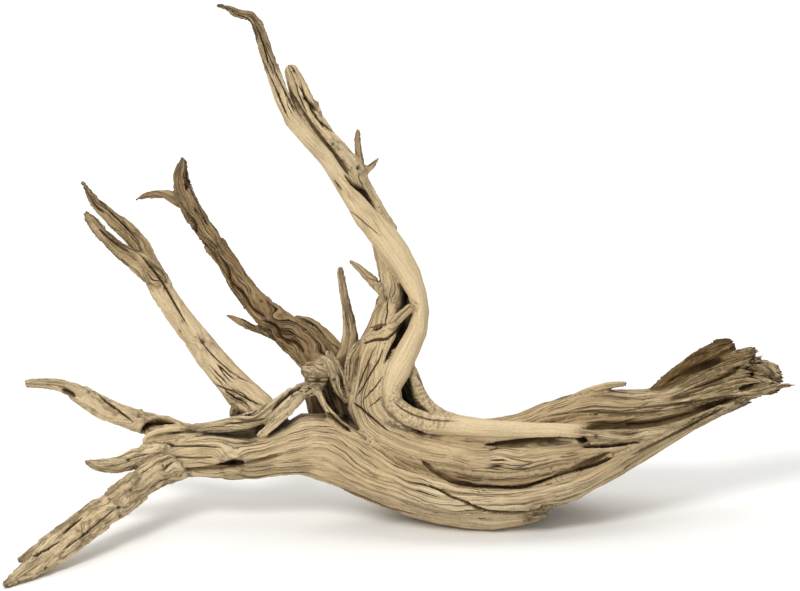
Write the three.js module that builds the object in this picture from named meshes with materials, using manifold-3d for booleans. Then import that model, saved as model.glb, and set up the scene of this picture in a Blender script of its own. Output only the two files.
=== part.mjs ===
// A piece of sandblasted driftwood: a twisted trunk with a tall forked stem, two long side
// branches, a crossing limb and three roots. It grew as one piece, so it is one closed solid.
//
// The trunk is a bundle of strands that run into each other, the way the wood grew. Each
// strand is a tube swept along a smooth curve, and all the strands are joined into one body.
// Weathered fissures are cut out of it, and it is worn flat where it stands.
//
// Units are millimetres. The strands are drawn in the plane that the branches spread in:
// x runs along the trunk to its broken end, y is the depth behind that plane, and z is up in
// it, with the belly of the trunk at 0. That plane then leans back until the belly, the
// heel behind it and the tip of the foot root all stand on the ground.

import * as THREE from 'three';
import { mergeVertices } from 'three/addons/utils/BufferGeometryUtils.js';
import Module from 'manifold-3d';

const LEAN = THREE.MathUtils.degToRad(18); // how far the plane of the branches leans back
const WORN = 3; // thickness of wood worn off under the belly
const TIP = 0.7; // how far a strand's rounded end stands out, as a share of its thickness
const THINNEST = 0.9; // smallest half-width of any strand

const BIG = 12; // sides of a trunk strand's section
const MEDIUM = 9; // sides of a branch's section
const SMALL = 7; // sides of a twig's section

// Each station of a strand is [x, y, z, half-width in the plane, half-width in depth].

const TRUNK = {
  ribbon: [
    [-260, -70, 520, 1.5, 1.5], [-249, -69, 517, 2.5, 2.5], [-237, -68, 511, 4, 4],
    [-225, -66, 508, 5.5, 5], [-219, -64, 496, 6.5, 6.5], [-213, -60, 476, 7, 7.5],
    [-205, -56, 454, 7.5, 8], [-198, -52, 435, 8, 9], [-190, -47, 413, 8, 10],
    [-172, -42, 391, 8, 11], [-151, -36, 368, 8.5, 12], [-138, -31, 349, 9.5, 13],
    [-124, -26, 328, 11, 14], [-108, -22, 307, 14, 15], [-91, -18, 287, 14, 15],
    [-77, -16, 267, 13, 15], [-66, -16, 245, 10.5, 14], [-60, -17, 225, 9, 13],
    [-61, -20, 204, 10, 13], [-71, -24, 182, 11.5, 13], [-81, -28, 162, 13, 13],
    [-89, -31, 142, 10, 12], [-85, -32, 125, 10, 12], [-68, -32, 113, 10, 12],
    [-43, -31, 106, 10.5, 13], [-10, -30, 103, 10, 13], [30, -28, 100, 9.5, 13],
    [70, -25, 99, 9, 13], [110, -20, 97, 9, 12], [150, -14, 94, 9, 12],
    [185, -8, 98, 8, 10], [220, -2, 110, 6, 8],
  ],
  inner_stem: [
    [-102, -8, 292, 7, 9], [-96, -4, 272, 9, 12], [-89, 0, 252, 11.5, 15],
    [-86, 2, 233, 14, 17], [-91, 3, 214, 17, 19], [-97, 3, 193, 20, 22],
    [-106, 2, 172, 21, 24], [-113, 0, 150, 19, 26], [-118, -2, 128, 17, 28],
    [-108, -2, 106, 20, 32], [-80, 0, 88, 24, 36], [-35, 0, 77, 24, 40],
    [15, 0, 70, 25, 42], [65, 2, 72, 22, 40], [115, 4, 80, 16, 34],
    [160, 6, 89, 13, 26], [210, 6, 108, 10, 18], [255, 5, 128, 6, 10],
  ],
  arm: [
    [-330, -8, 72, 13, 14], [-305, -6, 74, 20, 18], [-270, -4, 75, 23, 22],
    [-230, -3, 72, 22, 24], [-195, -4, 80, 25, 28], [-162, -6, 86, 33, 32],
    [-128, -8, 72, 30, 36], [-88, -12, 52, 24, 38], [-40, -14, 36, 20, 40],
    [15, -12, 31, 18, 40], [70, -8, 38, 17, 38], [120, -4, 59, 14, 32],
    [170, 0, 84, 10, 24], [220, 4, 111, 7, 16], [271, 5, 129, 3, 5],
  ],
  face: [
    [-95, -6, 74, 16, 26], [-55, -8, 56, 17, 32], [-10, -8, 49, 16, 34],
    [40, -6, 49, 15, 33], [90, -4, 60, 14, 29], [135, 0, 78, 11, 22], [175, 4, 96, 8, 14],
  ],
  shoulder: [
    [-60, -12, 94, 8, 16], [-25, -14, 92, 9, 20], [20, -14, 90, 9, 22], [60, -9, 93, 9, 23],
    [100, 0, 103, 10, 22], [140, 2, 106, 10, 20], [180, 4, 110, 9, 17], [225, 6, 122, 8, 12],
  ],
  core: [
    [30, 6, 86, 10, 26], [65, 6, 88, 11, 30], [95, 6, 92, 12, 30], [120, 6, 96, 11, 28],
    [150, 8, 100, 8, 18],
  ],
  keel: [
    [-190, 8, 66, 8, 14], [-155, 10, 58, 10, 20], [-115, 10, 45, 14, 26],
    [-75, 8, 31, 15, 30], [-32, 4, 20, 16, 32], [10, 0, 14, 15, 32],
    [45, 0, 15, 9, 26], [65, 0, 19, 5, 16],
  ],
  crest: [
    [-40, 14, 103, 8, 20], [0, 20, 99, 11, 28], [40, 24, 103, 13, 32],
    [75, 26, 113, 17, 34], [115, 26, 121, 20, 34], [155, 24, 121, 20, 32],
    [190, 20, 125, 18, 28], [220, 16, 136, 20, 26], [255, 12, 150, 22, 24],
    [283, 8, 152, 20, 20], [299, 6, 148, 13, 13],
  ],
  back: [
    [-130, 28, 110, 20, 18], [-90, 38, 92, 32, 24], [-40, 44, 76, 34, 28],
    [15, 46, 73, 36, 30], [70, 42, 82, 34, 28], [125, 34, 96, 26, 24],
    [180, 24, 115, 18, 18], [225, 16, 132, 11, 12],
  ],
};

const BRANCHES = {
  stub_strand: [
    [-189, -38, 460, 6, 5], [-183, -38, 444, 9.5, 8], [-175, -36, 423, 11.5, 10],
    [-162, -32, 401, 10.5, 11], [-143, -27, 379, 10.5, 12], [-127, -22, 359, 10.5, 12],
    [-115, -17, 340, 9, 12], [-103, -13, 320, 8, 12], [-90, -10, 298, 8, 11],
  ],
  back_rib: [
    [-84, 2, 285, 7, 7], [-76, 6, 262, 9, 8], [-67, 7, 240, 9, 9],
    [-66, 6, 218, 9, 9], [-74, 8, 190, 11, 10], [-77, 14, 160, 13, 11],
    [-76, 20, 132, 15, 12], [-70, 28, 105, 20, 14],
  ],
  left_branch: [
    [-186, -6, 76, 12, 14], [-196, -2, 94, 14, 14], [-210, 2, 111, 16, 15],
    [-228, 6, 127, 18, 16], [-247, 8, 146, 15.5, 15], [-266, 8, 168, 14.5, 14],
    [-284, 6, 192, 13.5, 13], [-302, 4, 216, 12.5, 12], [-318, 2, 239, 12.5, 12],
    [-329, 0, 257, 12.5, 12], [-342, -4, 268, 11, 10], [-357, -8, 278, 8.5, 8],
    [-370, -12, 290, 6.5, 6], [-381, -15, 301, 6.5, 6], [-389, -18, 311, 5, 5],
    [-393, -19, 317, 2, 2.5],
  ],
  left_tine: [
    [-324, 4, 256, 9, 9], [-333, 10, 272, 9, 9], [-343, 14, 288, 8.5, 8.5],
    [-356, 18, 301, 8, 8], [-371, 22, 314, 7.5, 7], [-384, 24, 325, 6.5, 6],
    [-391, 25, 334, 4.5, 5], [-395, 25, 341, 3, 3], [-400, 26, 348, 2.5, 3],
  ],
  rear_branch: [
    [-303, 110, 376, 2, 2], [-304, 108, 367, 6, 5], [-305, 105, 355, 9, 7],
    [-302, 101, 343, 9.5, 8], [-295, 96, 327, 10.5, 10], [-285, 90, 310, 10.5, 10],
    [-272, 84, 290, 10.5, 10], [-256, 77, 270, 11, 11], [-243, 70, 247, 11.5, 11],
    [-226, 62, 227, 13.5, 12], [-207, 54, 209, 15.5, 14], [-187, 46, 192, 18, 16],
    [-171, 38, 178, 19, 18], [-157, 30, 159, 17, 18], [-144, 20, 138, 16, 20],
    [-128, 12, 114, 16, 22],
  ],
  fan_edge: [
    [-86, -4, 232, 7, 8], [-88, -10, 214, 8, 9], [-91, -14, 198, 9, 9], [-94, -17, 182, 9, 10],
    [-97, -19, 164, 10, 12], [-98, -20, 146, 11, 13], [-97, -20, 128, 11, 13],
    [-88, -18, 112, 11, 14], [-66, -14, 99, 10, 14],
  ],
  collar: [
    [-331, -9, 87, 7, 9], [-312, -6, 88, 11, 13], [-286, -2, 87, 13, 15], [-258, 0, 88, 12, 14],
  ],
  hollow_back: [
    [-82, 12, 160, 9, 9], [-70, 14, 136, 12, 10], [-56, 14, 116, 13, 12], [-36, 14, 102, 10, 12],
  ],
  back_ridge: [
    [-110, 44, 116, 8, 10], [-60, 62, 100, 10, 12], [0, 72, 90, 11, 12], [60, 68, 92, 11, 12],
    [120, 56, 104, 10, 11], [175, 42, 118, 8, 10], [220, 28, 134, 6, 8],
  ],
  back_ledge: [
    [-95, 56, 66, 9, 12], [-40, 70, 52, 11, 12], [20, 76, 50, 12, 12], [75, 68, 62, 11, 12],
    [125, 54, 80, 9, 10],
  ],
  back_stub: [[56, 66, 82, 13, 13], [70, 82, 92, 10, 10], [80, 94, 100, 7, 7]],
  rear_lobe: [
    [-186, 60, 210, 4, 4], [-171, 56, 202, 9, 8], [-156, 48, 188, 10, 10],
    [-142, 40, 174, 10, 12], [-130, 28, 158, 12, 14],
  ],
  rear_foot: [
    [-160, 34, 168, 13, 13], [-166, 30, 146, 11, 12], [-164, 24, 124, 10, 12],
    [-152, 12, 98, 14, 16],
  ],
  cradle: [
    [-292, 4, 94, 7, 10], [-262, 6, 97, 8, 12], [-236, 6, 97, 9, 12],
    [-212, 2, 96, 10, 12], [-188, -2, 90, 10, 12],
  ],
  claw_root: [
    [-452, -20, 147, 3.5, 3], [-434, -16, 147, 4.5, 4], [-415, -10, 144, 6, 6],
    [-397, -4, 134, 10, 9], [-377, 2, 122, 12, 11], [-357, 8, 113, 11.5, 12],
    [-335, 14, 106, 12, 13], [-312, 16, 100, 13, 15], [-285, 12, 90, 14, 16],
  ],
  foot_root: [
    [-460, -154, -44, 2.5, 3], [-447, -141, -36, 6.5, 6], [-430, -124, -24, 11, 10],
    [-412, -107, -9, 14.5, 13], [-393, -90, 5, 14.5, 14], [-374, -73, 19, 14.5, 14],
    [-354, -56, 32, 14, 14], [-337, -40, 47, 15, 14], [-320, -22, 60, 17, 15],
    [-298, -8, 67, 16, 14], [-274, -3, 71, 10, 10],
  ],
  heel: [
    [-60, 40, 60, 22, 20], [-30, 66, 46, 20, 18], [-8, 86, 40, 15, 14], [2, 96, 36, 8, 8],
  ],
  crossing_limb: [
    [-296, -10, 103, 2.5, 3], [-273, -14, 103, 4.5, 5], [-248, -18, 106, 6.5, 7],
    [-226, -22, 111, 8, 8], [-209, -24, 118, 8.5, 8], [-196, -24, 127, 9.5, 9],
    [-183, -22, 136, 8.5, 9], [-170, -20, 142, 8.5, 9], [-160, -16, 150, 9, 10],
  ],
  flare_corner: [
    [205, 14, 142, 10, 14], [240, 8, 160, 13, 14], [265, 4, 172, 11, 12], [277, 2, 177, 7, 9],
  ],
  flare_lobe: [
    [175, 20, 137, 6, 14], [200, 18, 154, 10, 14], [222, 14, 168, 13, 13],
    [240, 10, 179, 12, 11], [252, 8, 186, 7, 8],
  ],
  twig_root: [
    [-140, 10, 262, 2.5, 3], [-138, 11, 248, 4.5, 4], [-135, 12, 230, 4.5, 4.5],
    [-132, 12, 214, 5.5, 5.5], [-130, 10, 199, 7.5, 8], [-130, 8, 185, 10, 10],
    [-135, 12, 170, 12, 12], [-135, 10, 152, 12, 14],
  ],
};

const TWIGS = {
  fold_chip: [
    [-96, -8, 200, 6, 8], [-86, -18, 208, 6, 7], [-77, -26, 216, 5, 5], [-69, -29, 223, 4.5, 4],
  ],
  fan_fold: [
    [-116, -5, 189, 4, 6], [-105, -11, 195, 5, 7], [-93, -16, 199, 5, 7], [-83, -19, 207, 4, 6],
  ],
  left_spur: [[-232, 6, 132, 10, 10], [-244, 4, 121, 6.5, 7], [-248, 2, 114, 3.5, 4]],
  rear_twig: [
    [-351, 112, 333, 1.5, 2], [-340, 110, 337, 3.5, 3.5], [-327, 107, 339, 4.5, 4.5],
    [-313, 103, 336, 6, 6], [-300, 99, 328, 7, 7],
  ],
  rear_spike: [
    [-257, 72, 214, 1.5, 2], [-245, 70, 209, 4, 3.5], [-229, 66, 201, 4.5, 4.5],
    [-210, 60, 196, 6, 6], [-191, 52, 186, 7, 7],
  ],
  stem_spike: [
    [-130, -4, 268, 1.5, 2], [-121, -4, 261, 3.5, 3.5], [-110, -2, 250, 5, 5],
    [-99, 0, 240, 6, 6], [-90, 2, 233, 5, 5],
  ],
  stem_twig: [
    [-122, -14, 399, 2.5, 2.5], [-123, -15, 387, 4, 4], [-121, -17, 373, 4, 4],
    [-118, -18, 359, 5, 5],
  ],
  stem_thorn: [[-101, -10, 372, 1.2, 1.5], [-108, -13, 365, 3, 3], [-116, -16, 357, 5, 5]],
  stub_root: [
    [-391, -40, 70, 2, 2], [-381, -38, 67, 6, 5], [-367, -34, 66, 8, 7],
    [-352, -28, 69, 9, 9], [-337, -20, 74, 12, 11], [-315, -10, 77, 14, 13],
  ],
  foot_lobe: [
    [-448, -124, -22, 4, 4], [-436, -116, -16, 7, 7], [-420, -103, -7, 9, 8],
    [-402, -90, 7, 8, 8],
  ],
  limb_leg: [
    [-180, -24, 134, 7, 7], [-190, -27, 123, 6, 6], [-201, -28, 111, 4.5, 5],
    [-211, -25, 102, 4, 5], [-219, -19, 95, 4, 5],
  ],
  knob: [[-174, -14, 160, 9, 11], [-162, -16, 160, 12, 13], [-150, -14, 158, 10, 11]],
  knob_eye: [[-170, -22, 150, 6, 7], [-162, -24, 149, 8, 8], [-155, -22, 149, 6, 7]],
  tongue: [
    [-150, -10, 178, 4, 5], [-148, -16, 168, 6.5, 7], [-143, -21, 156, 8, 8],
    [-140, -22, 145, 8.5, 8], [-134, -18, 134, 5, 6], [-124, -12, 126, 4, 5],
  ],
  tongue_fold: [
    [-122, -10, 184, 5, 7], [-129, -17, 170, 5, 6], [-131, -20, 156, 4.5, 6], [-132, -19, 143, 4, 5],
  ],
  tongue_chip: [
    [-159, -12, 169, 4, 5], [-153, -20, 170, 4.5, 4.5], [-147, -27, 162, 3.5, 4], [-146, -28, 151, 2.5, 3],
  ],
  strap: [
    [-163, -18, 144, 4, 6], [-159, -22, 133, 4, 6], [-152, -25, 120, 4.5, 6],
    [-141, -27, 108, 5, 6], [-126, -28, 97, 5, 6], [-108, -27, 87, 4, 5], [-92, -24, 79, 2.5, 3.5],
  ],
  buttress: [
    [-70, -20, 162, 6.5, 9], [-65, -17, 150, 7, 10], [-61, -14, 136, 8, 11],
    [-53, -12, 123, 8.5, 13], [-37, -9, 113, 8, 14], [-12, -3, 107, 6.5, 15], [15, 6, 104, 6, 14],
  ],
  end_spike: [
    [235, 0, 132, 6, 8], [270, -4, 137, 6, 7], [296, -8, 143, 4.5, 5], [312, -10, 145, 3, 3],
  ],
  slot_rim: [
    [-334, -14, 86, 3, 5], [-333, -15, 93, 3, 5], [-325, -16, 98, 3, 6], [-313, -16, 101, 3, 6],
    [-299, -13, 102, 2.5, 5],
  ],
  foot_plank: [
    [-378, -76, 31, 4, 5], [-398, -90, 16, 5, 6], [-409, -100, 8, 4.5, 5], [-415, -105, 4, 3.5, 3],
  ],
  foot_chip: [
    [-344, -46, 54, 6, 6], [-355, -55, 47, 4, 4], [-363, -62, 43, 3, 3], [-370, -67, 40, 1.5, 1.5],
  ],
  belly_chip: [[30, -14, 22, 6, 10], [50, -20, 17, 5, 7], [62, -22, 16, 3.5, 5], [67, -22, 17, 2, 3]],
  stub_chip: [[-156, -28, 398, 5, 6], [-163, -34, 414, 5.5, 6], [-164, -35, 426, 3.5, 4]],
  sliver: [[92, 8, 131, 3, 5], [112, 8, 139, 4, 6], [130, 8, 144, 3.5, 5], [146, 8, 146, 2, 3]],
};

// Fissures open between the strands as the wood dries: lens shapes cut in from the surface.
const FISSURES = {
  long_cleft: [
    [-30, -40, 47, 0.9, 6], [0, -44, 43, 0.9, 7], [40, -44, 43, 0.9, 7],
    [75, -40, 52, 1, 8], [100, -34, 62, 1.4, 9], [118, -30, 69, 1.2, 8], [130, -28, 75, 0.9, 6],
  ],
  short_cleft: [
    [92, -34, 88, 0.9, 5], [104, -34, 87, 1.1, 6], [122, -32, 85, 1, 6], [136, -30, 84, 0.9, 5],
  ],
};

const wasm = await Module();
wasm.setup();

const DEPTH = new THREE.Vector3(0, 1, 0);

// A smooth curve through one triple of numbers at each station.
function through(stations, triple) {
  const points = stations.map((s) => new THREE.Vector3(...triple(s)));
  return new THREE.CatmullRomCurve3(points, false, 'catmullrom', 0.5);
}

// The points of a strand: a ring round each sample of its centreline, and a rounded tip at
// each end.
function strandGeometry(stations, sides, spacing) {
  const centre = through(stations, ([x, y, z]) => [x, y, z]);
  const size = through(stations, ([, , , width, depth]) => [width, depth, 0]);
  const steps = Math.max(stations.length, Math.ceil(centre.getLength() / spacing));
  const positions = [];
  const tips = [];
  for (let i = 0; i <= steps; i++) {
    const at = centre.getPoint(i / steps);
    const along = centre.getTangent(i / steps);
    const up = new THREE.Vector3().crossVectors(along, DEPTH).normalize();
    const back = new THREE.Vector3().crossVectors(up, along);
    const half = size.getPoint(i / steps).max(new THREE.Vector3(THINNEST, THINNEST, 0));
    for (let k = 0; k < sides; k++) {
      const angle = (2 * Math.PI * k) / sides;
      const point = at.clone().addScaledVector(up, half.x * Math.cos(angle));
      positions.push(...point.addScaledVector(back, half.y * Math.sin(angle)));
    }
    if (i === 0 || i === steps) {
      const out = (i === 0 ? -TIP : TIP) * Math.min(half.x, half.y);
      tips.push(at.clone().addScaledVector(along, out));
    }
  }
  tips.forEach((tip) => positions.push(...tip));

  const index = [];
  const first = (steps + 1) * sides;
  for (let k = 0; k < sides; k++) {
    const next = (k + 1) % sides;
    for (let i = 0; i < steps; i++) {
      const [a, b] = [i * sides + k, i * sides + next];
      index.push(a, a + sides, b, b, a + sides, b + sides);
    }
    index.push(first, k, next);
    index.push(first + 1, steps * sides + next, steps * sides + k);
  }
  const geometry = new THREE.BufferGeometry();
  geometry.setAttribute('position', new THREE.Float32BufferAttribute(positions, 3));
  return geometry.setIndex(index);
}

function solid(geometry) {
  const bare = geometry.clone();
  bare.deleteAttribute('normal');
  bare.deleteAttribute('uv');
  const merged = mergeVertices(bare);
  const mesh = new wasm.Mesh({
    numProp: 3,
    vertProperties: new Float32Array(merged.attributes.position.array),
    triVerts: new Uint32Array(merged.index.array),
  });
  return new wasm.Manifold(mesh);
}

function joined(strands, sides, spacing) {
  const solids = Object.values(strands).map((s) => solid(strandGeometry(s, sides, spacing)));
  return solids.reduce((a, b) => a.add(b));
}

function geometryOf(manifold) {
  const mesh = manifold.getMesh();
  const geometry = new THREE.BufferGeometry();
  geometry.setAttribute('position', new THREE.Float32BufferAttribute(mesh.vertProperties, 3));
  return geometry.setIndex(new THREE.Uint32BufferAttribute(mesh.triVerts, 1));
}

// Everything below the ground, which the wood is worn away to.
function ground() {
  const box = new THREE.BoxGeometry(2000, 2000, 200);
  return solid(box.translate(0, 0, WORN - 100));
}

const grown = joined(TRUNK, BIG, 24)
  .add(joined(BRANCHES, MEDIUM, 20))
  .add(joined(TWIGS, SMALL, 14))
  .subtract(joined(FISSURES, SMALL, 20));

const leaning = solid(geometryOf(grown).rotateX(-LEAN));
const standing = geometryOf(leaning.subtract(ground()));

// The origin is on the ground, under the middle of the piece.
standing.computeBoundingBox();
const { min, max } = standing.boundingBox;
standing.translate(-(min.x + max.x) / 2, -(min.y + max.y) / 2, -min.z);

const wood = new THREE.MeshStandardMaterial({ color: 0xb89b6e, roughness: 0.85, metalness: 0 });
const driftwood = new THREE.Mesh(standing, wood);
driftwood.name = 'driftwood';

const part = new THREE.Group();
part.add(driftwood);

export default part;
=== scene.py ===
"""A piece of sandblasted driftwood: root wood with the soft layers blasted out of its grain.

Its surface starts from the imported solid, is remeshed and softened, and gets the grain that the
wood grew with. The fibres of each limb run along that limb, so a point of the surface is
described by the limb it lies on: how far along it, and where across it. Flutes, cracks, pits
and knots follow from that in one Geometry Nodes tree, and the colour follows the same fibres.
"""

import math
from functools import partial

import bmesh
import bpy
import numpy as np
from mathutils import Euler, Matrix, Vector, noise


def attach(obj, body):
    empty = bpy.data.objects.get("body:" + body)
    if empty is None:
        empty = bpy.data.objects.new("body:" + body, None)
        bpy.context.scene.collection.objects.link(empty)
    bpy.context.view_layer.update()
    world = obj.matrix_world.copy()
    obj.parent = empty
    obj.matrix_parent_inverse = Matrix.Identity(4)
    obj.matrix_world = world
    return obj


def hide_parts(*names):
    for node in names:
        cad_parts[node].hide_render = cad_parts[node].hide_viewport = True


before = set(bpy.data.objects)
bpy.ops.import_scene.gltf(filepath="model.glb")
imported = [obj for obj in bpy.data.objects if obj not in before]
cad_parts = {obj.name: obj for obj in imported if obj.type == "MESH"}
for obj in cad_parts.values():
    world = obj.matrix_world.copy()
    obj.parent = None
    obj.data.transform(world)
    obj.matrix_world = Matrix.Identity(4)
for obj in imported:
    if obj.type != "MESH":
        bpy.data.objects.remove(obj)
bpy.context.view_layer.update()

MM = 0.001

# The plane that the branches spread in leans back, and this is its zero point in the part's frame.
LEAN = math.radians(18)
PLANE_ZERO_MM = np.array([74.0, -30.25, -3.0])

# The view from in front, square to that plane. Wounds and knots lie where it shows them.
VIEW_DISTANCE_MM = 4000
VIEW_WIDTH_MM = 800
VIEW_MIDDLE_MM = np.array([-80.0, 234.5])
SENSOR_MM = 36
IN_SIGHT = 0.15  # wood whose normal points back more than this is out of the view's sight

VOXEL_MM = 1.45  # face size that the surface is worked at
FINISHED_FACES = 192000  # triangles of the finished piece
SOFTENING_PASSES = 16  # rounds off the facets of the solid
FIBRE_SQUEEZE = 0.05  # how much the grain pattern is drawn out along the fibres
BROAD_SWAY_MM = 42  # the two sizes of wave that the fibres stray in
SMALL_SWAY_MM = 13
SWAY_APART = 50  # keeps the two waves from running together
JOIN_ROUNDS = 12  # how far one limb's character fades into the next
TORN_FROM_MM = 235  # the torn end of the trunk: where it starts along the plane,
TORN_OVER_MM = 45  # how soon it is torn right through,
TORN_ABOVE_MM = 120  # and how high in the plane it lies
CLEAR_OF_WOUNDS = 9.0  # stands for a point that no wound is near
WOUND_MARGIN_MM = 8  # how far round a wound its points are looked for

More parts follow.
